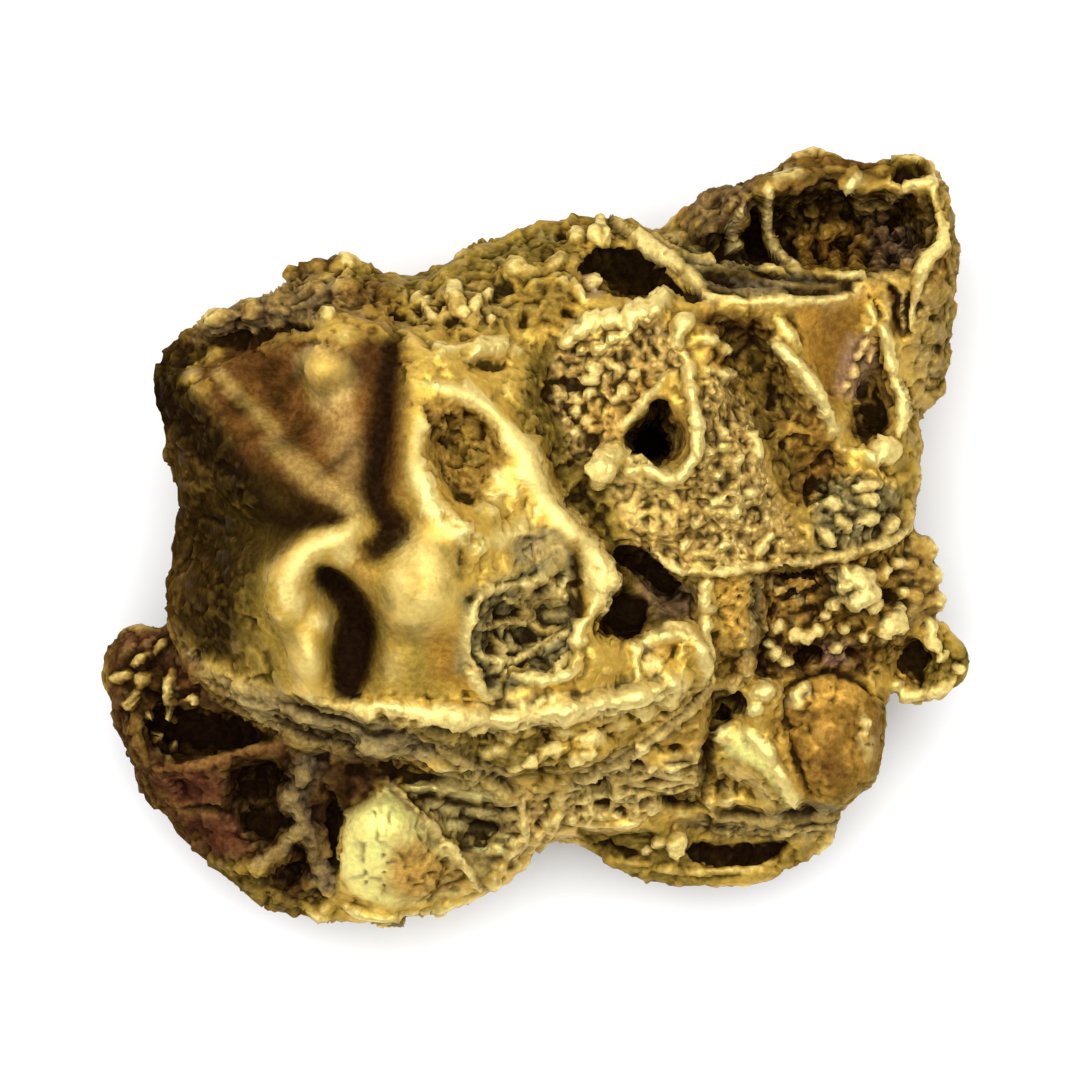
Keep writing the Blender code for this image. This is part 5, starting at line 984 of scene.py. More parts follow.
# Stained regions, some of them painted shade or painted highlight. Each: colour, strength, softness
# of the edge, outline.
STAINS = (
    # The lobe: face, dark flank (stain and painted shade), rims, crown, gully and lower band, and
    # the bulge painted pale as a highlight.
    (BROWN, 1.0, 0.15, (-4.3, 2.2), (-3.6, 2.5), (-2.0, 2.5), (-1.75, 2.3), (-1.7, 0.8),
     (-1.9, 0.2), (-2.9, 0.3), (-3.6, 0.9), (-4.1, 1.5)),
    (BROWN, 0.3, 0.2, (-3.7, 2.0), (-2.3, 1.8), (-2.2, 0.5), (-3.2, 0.8), (-3.8, 1.4)),
    (RUST, 0.2, 0.2, (-4.0, 2.1), (-3.4, 2.0), (-2.2, 1.9), (-2.2, 0.5), (-3.0, 0.8), (-3.6, 1.4)),
    (SOOT_AND_SHADE, 0.93, 0.2, (-5.2, 2.3), (-4.5, 2.1), (-4.2, 1.7), (-3.7, 1.05), (-3.2, 0.45),
     (-2.2, 0.25), (-1.6, 0.35), (-1.6, 0.0), (-2.0, -0.2), (-2.5, 0.05), (-3.0, -0.05),
     (-3.35, -0.35), (-3.7, -0.8), (-3.75, -1.3), (-3.4, -1.8), (-4.2, -1.5), (-4.9, -0.9),
     (-5.0, 0.5)),
    (BROWN, 0.2, 0.15, (-5.2, 2.0), (-4.6, 1.8), (-4.2, 1.2), (-4.05, 0.3), (-4.1, -0.8),
     (-4.5, -1.2), (-5.0, -0.9)),
    (OLIVE, 0.5, 0.2, (-3.7, -0.6), (-3.3, -0.5), (-3.2, -1.2), (-3.0, -1.9), (-3.4, -1.8),
     (-3.75, -1.2)),
    (OLIVE, 0.6, 0.15, (-3.6, -0.5), (-3.2, -0.4), (-3.2, -1.0), (-3.0, -1.2), (-3.0, -1.9),
     (-3.5, -1.7)),
    (OLIVE, 0.6, 0.15, (-2.3, -1.0), (-2.0, -1.0), (-2.0, -1.7), (-2.35, -1.9)),
    (PALE_GOLD_AND_HIGHLIGHT, 0.5, 0.12, (-1.95, -0.6), (-1.75, -0.1), (-1.35, 0.0), (-1.05, -0.3), (-1.05, -0.8),
     (-1.4, -1.15), (-1.8, -1.0)),
    (OLIVE, 0.6, 0.15, (-2.1, -1.0), (-1.4, -1.1), (-0.9, -1.9), (-2.2, -2.0)),
    (RUST, 0.8, 0.1, (-1.4, -1.1), (-1.05, -1.0), (-1.0, -1.8), (-1.3, -1.75)),
    (BROWN, 0.5, 0.12, (-2.4, -0.05), (-2.0, -0.1), (-1.95, -0.9), (-1.95, -1.9), (-2.3, -1.95),
     (-2.3, -1.0), (-2.5, -0.5)),
    (SOOT_AND_SHADE, 0.93, 0.12, (-2.66, -0.4), (-2.4, -0.45), (-2.15, -0.8), (-2.1, -1.4), (-2.2, -1.95),
     (-2.6, -1.95), (-2.6, -1.4), (-2.46, -1.0), (-2.6, -0.75)),
    (OLIVE, 0.55, 0.08, (-2.35, -0.85), (-2.05, -0.8), (-2.0, -1.35), (-2.2, -1.25)),
    (OLIVE, 0.45, 0.08, (-2.65, -1.55), (-2.4, -1.6), (-2.35, -1.95), (-2.65, -1.95)),
    (TAN, 0.6, 0.15, (-4.7, 2.4), (-4.0, 3.0), (-2.9, 3.4), (-2.1, 3.3), (-2.3, 2.8), (-4.0, 2.55)),
    (GREY, 0.6, 0.1, (-4.4, 2.5), (-3.2, 3.2), (-2.6, 3.1), (-2.7, 2.75), (-3.8, 2.55)),
    (SOOT_AND_SHADE, 0.97, 0.12, (-5.0, 2.6), (-4.4, 2.9), (-4.2, 2.45), (-4.4, 2.1), (-4.5, 1.6),
     (-5.0, 1.2)),
    (BROWN, 0.65, 0.12, (-4.5, 2.4), (-3.9, 2.9), (-2.7, 3.3), (-2.6, 2.8), (-3.8, 2.5)),
    (ASH, 0.55, 0.12, (-4.3, 2.5), (-3.9, 2.95), (-2.7, 3.3), (-2.3, 3.2), (-2.6, 2.8),
     (-3.8, 2.5)),
    (RED, 0.85, 0.1, (-3.5, 3.2), (-3.1, 3.6), (-2.4, 3.7), (-2.5, 3.35), (-3.1, 3.2)),
    (OLIVE, 0.8, 0.12, (-2.5, 3.5), (-1.4, 3.7), (-0.9, 3.4), (-1.7, 3.0), (-2.3, 3.0)),
    (BROWN, 0.7, 0.12, (-2.4, 3.3), (-1.9, 3.3), (-1.6, 2.6), (-2.1, 2.5), (-2.6, 2.9)),
    (BROWN, 0.7, 0.08, (-1.5, 1.72), (-1.0, 1.8), (-0.5, 1.45), (-0.38, 1.0), (-0.8, 0.5),
     (-1.25, 0.75), (-1.4, 1.2)),
    (OLIVE, 0.75, 0.1, (-1.3, 1.2), (-0.9, 1.4), (-0.6, 1.1), (-0.9, 0.8)),
    (OLIVE, 1.0, 0.12, (-0.15, 2.5), (0.2, 2.4), (0.4, 1.8), (0.6, 1.1), (0.9, 0.7), (1.1, -0.2),
     (0.8, -0.1), (0.45, 0.35), (0.05, 1.0), (-0.3, 1.6)),
    (GREY, 0.95, 0.08, (-0.4, 0.1), (0.3, 0.2), (0.45, -0.3), (-0.3, -0.4)),
    (GREEN, 0.95, 0.08, (-1.0, -0.7), (-0.2, -0.3), (0.45, -0.2), (0.5, -1.3), (0.2, -1.7),
     (-0.6, -2.0), (-1.0, -1.6)),
    (OLIVE, 0.75, 0.1, (-3.0, -2.1), (-1.5, -2.25), (1.5, -2.0), (2.1, -1.8), (1.6, -2.35),
     (0.4, -3.0), (-0.6, -2.95), (-2.0, -2.6)),
    (GREY, 0.85, 0.08, (-4.75, -1.0), (-4.2, -1.6), (-2.8, -1.95), (-1.4, -2.2), (-0.7, -2.6),
     (-0.2, -3.2), (-0.5, -3.15), (-1.2, -2.75), (-2.7, -2.75), (-3.7, -2.3), (-4.3, -1.8)),
    (OLIVE, 0.95, 0.12, (-1.6, -2.35), (0.3, -2.4), (0.1, -2.9), (-0.8, -2.8)),
    (ASH, 0.35, 0.1, (-4.6, -1.1), (-4.2, -1.6), (-2.8, -2.0), (-1.4, -2.3), (-0.7, -2.7),
     (-2.7, -2.7), (-3.7, -2.3), (-4.3, -1.8)),
    # The shoulder.
    (OLIVE, 0.9, 0.12, (-1.0, 3.9), (0.0, 4.3), (1.2, 4.2), (1.5, 3.8), (0.9, 3.75), (0.4, 3.6),
     (0.3, 3.3), (-0.5, 3.3), (-0.9, 3.4)),
    (RUST, 0.75, 0.1, (-0.25, 3.15), (0.2, 3.25), (0.5, 3.0), (0.4, 2.65), (-0.1, 2.6)),
    (RUST, 0.6, 0.08, (0.3, 3.95), (0.65, 4.0), (0.6, 3.7), (0.35, 3.7)),
    (SOOT_AND_SHADE, 0.7, 0.07, (0.42, 3.55), (0.65, 3.7), (0.93, 3.73), (1.25, 3.55), (1.6, 3.28),
     (2.05, 3.05), (1.95, 2.95), (1.54, 3.08), (1.05, 2.97), (0.62, 3.0), (0.5, 3.24)),
    (BROWN, 0.55, 0.1, (1.1, 3.4), (1.6, 3.25), (1.3, 3.1), (0.9, 3.15)),
    (OLIVE, 0.4, 0.12, (-0.4, 3.9), (0.5, 4.0), (0.5, 3.4), (-0.3, 3.3)),
    (GREY, 0.6, 0.1, (1.3, 4.0), (2.0, 3.8), (2.2, 3.1), (1.9, 3.1), (1.5, 3.45)),
    (OLIVE, 0.7, 0.15, (-1.8, 2.6), (-1.5, 3.3), (-0.5, 3.5), (0.4, 3.4), (0.4, 2.7), (-0.5, 2.5)),
    (TAN, 0.4, 0.12, (-1.5, 2.7), (-1.0, 3.2), (-0.4, 3.1), (-0.6, 2.6)),
    # The angular block.
    (TAN, 0.75, 0.1, (0.2, 2.35), (0.8, 2.35), (1.5, 2.85), (1.85, 2.3), (1.0, 1.35), (0.8, 1.0),
     (0.4, 1.1), (0.15, 1.7)),
    (ORANGE, 0.5, 0.1, (0.4, 1.7), (0.8, 1.7), (1.3, 2.3), (1.5, 2.0), (1.0, 1.4), (0.6, 1.2)),
    (TAN, 0.6, 0.12, (0.9, 0.7), (1.95, 0.9), (2.1, 2.2), (2.6, 1.8), (2.75, 1.2), (3.0, 0.5),
     (3.4, -0.1), (3.3, -0.3), (1.9, -0.42), (1.2, -0.1)),
    (ORANGE, 0.9, 0.12, *ORANGE_PATCH),
    (ORANGE, 0.3, 0.12, (2.1, 1.9), (2.5, 1.7), (2.7, 1.0), (2.3, 0.8), (2.1, 1.2)),
    (ORANGE, 0.4, 0.12, (2.7, 0.3), (3.3, 0.2), (3.2, -0.3), (2.6, -0.3)),
    (PALE_GOLD_AND_HIGHLIGHT, 0.65, 0.12, (0.98, 0.85), (1.75, 0.75), (1.7, 0.3), (1.2, 0.15), (0.95, 0.5)),
    (GOLD, 0.4, 0.12, *ORANGE_PATCH),
    (PALE_GOLD_AND_HIGHLIGHT, 0.2, 0.12, (2.1, 2.0), (2.6, 1.7), (2.9, 0.6), (3.2, -0.2), (2.0, -0.3), (2.0, 0.8)),
    (BROWN, 0.6, 0.06, (1.55, 1.75), (1.85, 1.5), (1.88, 1.0), (1.65, 0.9), (1.65, 1.4)),
    (SOOT_AND_SHADE, 0.97, 0.05, (1.48, 1.75), (1.02, 1.33), (1.05, 1.1), (1.3, 0.92), (1.62, 0.9),
     (1.65, 1.35), (1.56, 1.7)),
    (BROWN, 0.85, 0.1, (1.95, 2.88), (2.85, 2.76), (3.0, 2.42), (3.3, 1.87), (3.66, 1.22),
     (3.86, 0.96), (3.47, 0.55), (3.14, 0.3), (2.85, 0.9), (2.7, 1.35), (2.6, 1.84), (2.14, 2.2)),
    (OLIVE, 0.6, 0.12, (2.2, 2.5), (2.9, 2.5), (3.2, 1.8), (3.5, 1.2), (3.1, 0.6), (2.8, 1.2),
     (2.5, 2.0)),
    (RUST, 0.4, 0.1, (3.1, 1.5), (3.4, 1.5), (3.7, 1.0), (3.4, 0.8), (3.1, 1.1)),
    (SOOT_AND_SHADE, 0.55, 0.12, (2.1, 2.9), (2.8, 2.8), (2.95, 2.4), (2.5, 2.35), (2.2, 2.6)),
    (RUST, 0.85, 0.1, (3.1, 3.0), (4.2, 3.1), (4.1, 2.8), (3.8, 2.3), (3.7, 1.6), (3.3, 2.2)),
    (BROWN, 0.5, 0.1, (3.5, 2.9), (4.1, 2.9), (3.8, 2.2), (3.6, 1.8)),
    (PINK, 0.7, 0.07, (3.85, 2.55), (4.15, 2.6), (4.2, 2.2), (4.0, 1.7), (3.7, 1.85)),
    (RED, 0.8, 0.07, (4.12, 2.2), (4.38, 2.2), (4.42, 1.25), (4.0, 1.2), (3.75, 1.35),
     (3.95, 1.75)),
    (GREEN, 0.95, 0.1, (3.5, 0.75), (4.1, 0.8), (4.5, 0.6), (4.55, 0.15), (4.1, -0.05), (3.4, -0.2),
     (3.35, 0.2)),
    (OLIVE, 0.6, 0.1, (4.5, 1.7), (5.0, 1.6), (5.0, 0.0), (4.55, 0.1), (4.45, 0.9)),
    (RUST, 0.6, 0.08, (3.95, 2.95), (4.0, 3.22), (4.4, 3.2), (4.5, 2.9)),
    (BROWN, 0.75, 0.08, (4.3, 3.1), (4.62, 3.15), (4.6, 2.5), (4.35, 2.6)),
    (TAN, 0.6, 0.08, (4.0, 3.2), (4.1, 3.42), (4.65, 3.35), (4.6, 3.15)),
    (GREEN, 0.9, 0.07, (1.6, 3.65), (3.1, 3.35), (4.0, 3.3), (3.9, 3.1), (2.9, 3.02), (2.1, 3.05)),
    (ASH, 0.8, 0.06, (2.05, 3.4), (2.6, 3.36), (3.3, 3.28), (3.9, 3.2), (3.9, 3.08), (2.9, 3.06),
     (2.1, 3.15)),
    (SOOT_AND_SHADE, 0.8, 0.06, (2.05, 3.38), (2.5, 3.34), (3.2, 3.24), (3.9, 3.2), (3.85, 3.08), (3.0, 3.07),
     (2.1, 3.14)),
    # The bowl, its hollow darkened with dirt and painted shade.
    (SOOT_AND_SHADE, 0.93, 0.1, (1.75, 3.85), (2.2, 4.05), (2.6, 4.2), (3.0, 4.45), (3.8, 4.4), (4.9, 4.35),
     (4.95, 3.8), (4.6, 3.35), (3.3, 3.3), (2.5, 3.55), (1.75, 3.65)),
    (BROWN, 0.85, 0.12, (1.6, 3.9), (2.0, 4.6), (3.0, 4.8), (4.2, 4.9), (4.2, 4.5), (2.9, 4.4),
     (2.3, 4.0)),
    (OLIVE, 0.5, 0.1, (2.3, 4.4), (2.9, 4.65), (4.1, 4.75), (4.2, 4.4), (3.0, 4.5)),
    (ASH, 0.5, 0.12, (1.8, 3.9), (2.1, 4.5), (2.8, 4.7), (2.7, 4.3), (2.2, 3.9)),
    (BROWN, 0.5, 0.1, (2.9, 4.35), (3.3, 4.8), (4.3, 4.8), (4.3, 4.4), (3.6, 4.35)),
    (RUST, 0.5, 0.1, (3.2, 3.85), (3.5, 4.0), (4.05, 4.0), (4.1, 3.4), (3.3, 3.35)),
    (PINK, 0.35, 0.1, (4.15, 4.15), (4.6, 3.9), (4.7, 3.4), (4.2, 3.4)),
    (SOOT_AND_SHADE, 0.9, 0.06, (4.25, 4.5), (4.35, 4.78), (4.85, 4.75), (4.88, 4.55), (4.5, 4.45)),
    (TAN, 0.75, 0.1, (4.75, 3.3), (5.05, 4.6), (5.5, 4.0), (5.3, 1.8), (4.7, 1.6), (4.6, 2.6)),
    (BROWN, 0.3, 0.1, (4.8, 3.4), (4.95, 4.5), (5.3, 4.4), (5.3, 3.4)),
    (OLIVE, 0.5, 0.1, (4.85, 3.3), (5.05, 4.6), (5.5, 4.0), (5.3, 1.8), (4.9, 1.6), (4.8, 2.6)),
    (RUST, 0.5, 0.1, (4.8, 3.5), (5.1, 3.6), (5.0, 3.1), (4.8, 3.0)),
    (SOOT_AND_SHADE, 0.5, 0.06, (4.35, 3.15), (4.62, 3.1), (4.6, 2.5), (4.4, 2.6)),
    # The crumbly ground, the dome and the knobs.
    (SOOT_AND_SHADE, 0.85, 0.08, (0.85, -0.1), (1.3, -0.2), (2.0, -0.6), (1.9, -1.0), (1.4, -1.15),
     (1.0, -1.3), (0.7, -1.1), (0.75, -0.7)),
    (PINK, 0.25, 0.1, (1.2, -0.5), (1.9, -0.6), (1.9, -1.0), (1.4, -1.0)),
    (ORANGE, 0.7, 0.08, (2.2, -0.45), (2.6, -0.45), (2.6, -1.1), (2.3, -1.2)),
    (BROWN, 0.6, 0.08, (2.15, -1.2), (2.5, -1.1), (2.6, -1.8), (2.15, -1.8)),
    (GREY, 0.8, 0.05, (2.6, -0.45), (2.78, -0.45), (2.8, -1.2), (2.6, -1.75)),
    (BROWN, 0.6, 0.1, (2.75, -0.4), (4.3, -0.1), (4.6, -0.2), (4.6, -1.2), (4.2, -1.7),
     (2.75, -1.7)),
    (BROWN, 0.75, 0.07, (2.8, -0.38), (3.6, -0.35), (3.7, -0.7), (3.4, -0.95), (2.9, -0.95)),
    (ORANGE, 0.4, 0.07, (2.9, -0.5), (3.3, -0.45), (3.4, -0.8), (3.0, -0.8)),
    (RED, 0.75, 0.08, (2.7, -1.2), (3.1, -1.25), (3.9, -1.25), (4.2, -1.4), (4.1, -1.7),
     (3.2, -1.75), (2.7, -1.75)),
    (PINK, 0.55, 0.08, (3.55, -1.3), (3.85, -1.3), (3.85, -1.55), (3.6, -1.55)),
    (TAN, 0.6, 0.1, (4.5, 0.1), (5.0, 0.1), (5.1, -1.0), (4.6, -1.1)),
    (BROWN, 0.8, 0.08, (4.5, -1.2), (4.95, -1.3), (5.05, -1.7), (4.6, -1.85)),
    (BROWN, 0.7, 0.08, (4.6, 0.05), (4.9, 0.05), (5.0, -0.9), (4.7, -1.0)),
    (OLIVE, 0.9, 0.1, (4.9, -1.2), (5.5, -1.3), (5.3, -2.0), (4.6, -2.1)),
    (RUST, 0.95, 0.1, *DOME),
    (OLIVE, 0.35, 0.1, *DOME),
    (BROWN, 0.3, 0.12, (3.2, -2.4), (3.8, -2.2), (4.0, -2.8), (3.6, -3.2), (3.3, -3.1)),
    (RUST, 0.6, 0.08, (2.9, -1.75), (3.05, -1.8), (3.1, -2.6), (2.9, -2.5)),
    (OLIVE, 0.2, 0.07, (2.15, -2.8), (2.6, -2.75), (2.95, -3.1), (3.1, -3.35), (2.2, -3.3)),
    (SOOT_AND_SHADE, 0.9, 0.06, (2.12, -1.9), (2.55, -1.9), (2.58, -2.1), (2.3, -2.3), (2.2, -2.75),
     (2.05, -3.3), (1.98, -2.8), (2.12, -2.3)),
    (BROWN, 0.5, 0.07, (1.5, -2.2), (2.0, -2.05), (2.1, -2.3), (2.0, -2.7), (1.6, -2.7)),
    (GREY, 0.7, 0.07, (0.3, -3.1), (1.1, -2.8), (2.0, -2.6), (2.05, -3.15), (1.5, -3.4),
     (0.3, -3.6)),
    (SOOT_AND_SHADE, 0.75, 0.06, (1.5, -3.2), (2.05, -3.2), (2.1, -3.42), (1.6, -3.42)),
    (GREY, 0.9, 0.07, (2.05, -3.4), (3.8, -3.3), (4.0, -3.6), (3.4, -3.8), (2.2, -3.75),
     (1.5, -3.55)),
    (OLIVE, 0.85, 0.08, (0.5, -3.65), (1.5, -3.6), (3.4, -3.85), (3.5, -4.2), (1.5, -4.4),
     (0.6, -4.1)),
    (SOOT_AND_SHADE, 0.75, 0.07, (0.6, -3.75), (1.15, -3.72), (1.2, -4.0), (0.8, -4.0)),
    (RED, 0.96, 0.05, (1.84, -3.78), (2.5, -3.84), (3.1, -3.78), (3.0, -4.02), (1.95, -4.05)),
    (TAN, 0.6, 0.08, (-0.4, -3.1), (0.4, -3.1), (0.2, -3.7), (-0.4, -4.2)),
    # The lower block and the ground beside it.
    (RED, 0.96, 0.12, (-5.6, -1.0), (-4.6, -1.1), (-4.2, -1.8), (-3.0, -2.6), (-1.6, -2.8),
     (-1.8, -3.05), (-2.5, -3.5), (-2.6, -4.3), (-3.0, -4.9), (-4.2, -4.3), (-5.4, -3.0)),
    (SOOT_AND_SHADE, 0.85, 0.1, (-5.1, -2.1), (-4.2, -2.05), (-3.2, -2.5), (-4.0, -2.7), (-4.8, -2.8)),
    (SOOT_AND_SHADE, 0.85, 0.08, (-3.95, -2.8), (-3.1, -2.6), (-3.0, -3.1), (-3.1, -3.8), (-3.5, -3.9),
     (-3.9, -3.4)),
    (SOOT_AND_SHADE, 0.7, 0.1, (-5.2, -1.4), (-4.6, -1.3), (-4.5, -1.9), (-4.8, -2.2), (-5.2, -2.0)),
    (PLUM, 0.8, 0.08, (-4.95, -2.95), (-4.0, -2.82), (-3.95, -3.3), (-4.5, -3.35)),
    (PLUM, 0.8, 0.08, (-4.6, -3.45), (-3.9, -3.45), (-3.65, -3.85), (-4.1, -3.95)),
    (PLUM, 0.6, 0.08, (-5.2, -1.1), (-4.7, -1.1), (-4.9, -1.3), (-5.3, -1.4)),
    (PLUM, 0.6, 0.08, (-4.65, -1.5), (-4.3, -1.6), (-4.3, -1.85), (-4.6, -1.8)),
    (SOOT_AND_SHADE, 0.5, 0.1, (-2.9, -2.8), (-1.9, -2.85), (-1.2, -2.9), (-0.9, -3.2), (-1.6, -3.3),
     (-2.3, -3.2), (-2.7, -3.6)),
    (SOOT_AND_SHADE, 0.5, 0.08, (-3.4, -4.0), (-2.9, -3.8), (-2.8, -4.4), (-3.4, -4.5)),
    (OLIVE, 0.7, 0.1, (-4.3, -3.95), (-3.6, -4.1), (-3.2, -4.5), (-2.6, -4.4), (-2.4, -4.9),
     (-3.6, -4.7)),
    (GREEN, 0.75, 0.07, (-1.75, -3.0), (-1.08, -2.85), (-0.28, -3.3), (-0.3, -3.9), (-0.7, -4.35),
     (-1.2, -3.7)),
    (SOOT_AND_SHADE, 0.2, 0.1, (-1.7, -3.0), (-1.0, -2.9), (-0.5, -3.3), (-1.0, -3.4)),
    (TAN, 0.7, 0.07, (-0.3, -3.25), (0.1, -3.3), (-0.1, -3.9), (-0.6, -4.5), (-0.75, -4.4),
     (-0.3, -3.9)),
    # The pale drop: a painted highlight where it faces the light.
    (HIGHLIGHT_GOLD, 1.0, 0.05, (-1.92, -3.07), (-2.42, -3.5), (-2.52, -4.1), (-2.3, -4.5), (-1.88, -4.62),
     (-0.9, -4.45), (-1.2, -3.85), (-1.62, -3.4)),
    # Small places that lie over the others.
    (PALE_GOLD_AND_HIGHLIGHT, 0.8, 0.06, (3.65, -0.4), (3.95, -0.3), (4.2, -0.5), (4.2, -0.85), (3.9, -0.85),
     (3.65, -0.7)),
    (PALE_GOLD_AND_HIGHLIGHT, 0.4, 0.05, (4.22, -1.0), (4.5, -0.9), (4.56, -1.1), (4.3, -1.25)),
    (GOLD, 0.45, 0.08, (0.2, -2.2), (1.6, -2.0), (1.9, -1.9), (1.4, -2.3), (0.6, -2.65),
     (0.2, -2.6)),
    (RUST, 0.8, 0.12, (-1.75, -3.75), (-1.25, -3.9), (-0.85, -4.4), (-1.7, -4.6), (-2.0, -4.4)),
    (ORANGE, 0.5, 0.1, (-1.9, -3.9), (-1.5, -3.8), (-1.2, -4.2), (-1.8, -4.5)),
    (BROWN, 0.15, 0.1, (-1.6, -3.95), (-1.25, -4.0), (-1.1, -4.4), (-1.5, -4.5)),
    # The wedge's upper face: a painted highlight.
    (HIGHLIGHT_GOLD, 1.0, 0.05, (2.25, -2.58), (2.5, -2.29), (2.74, -2.37), (2.95, -2.74), (3.28, -3.28),
     (3.1, -3.36), (2.74, -2.9), (2.33, -2.7)),
)
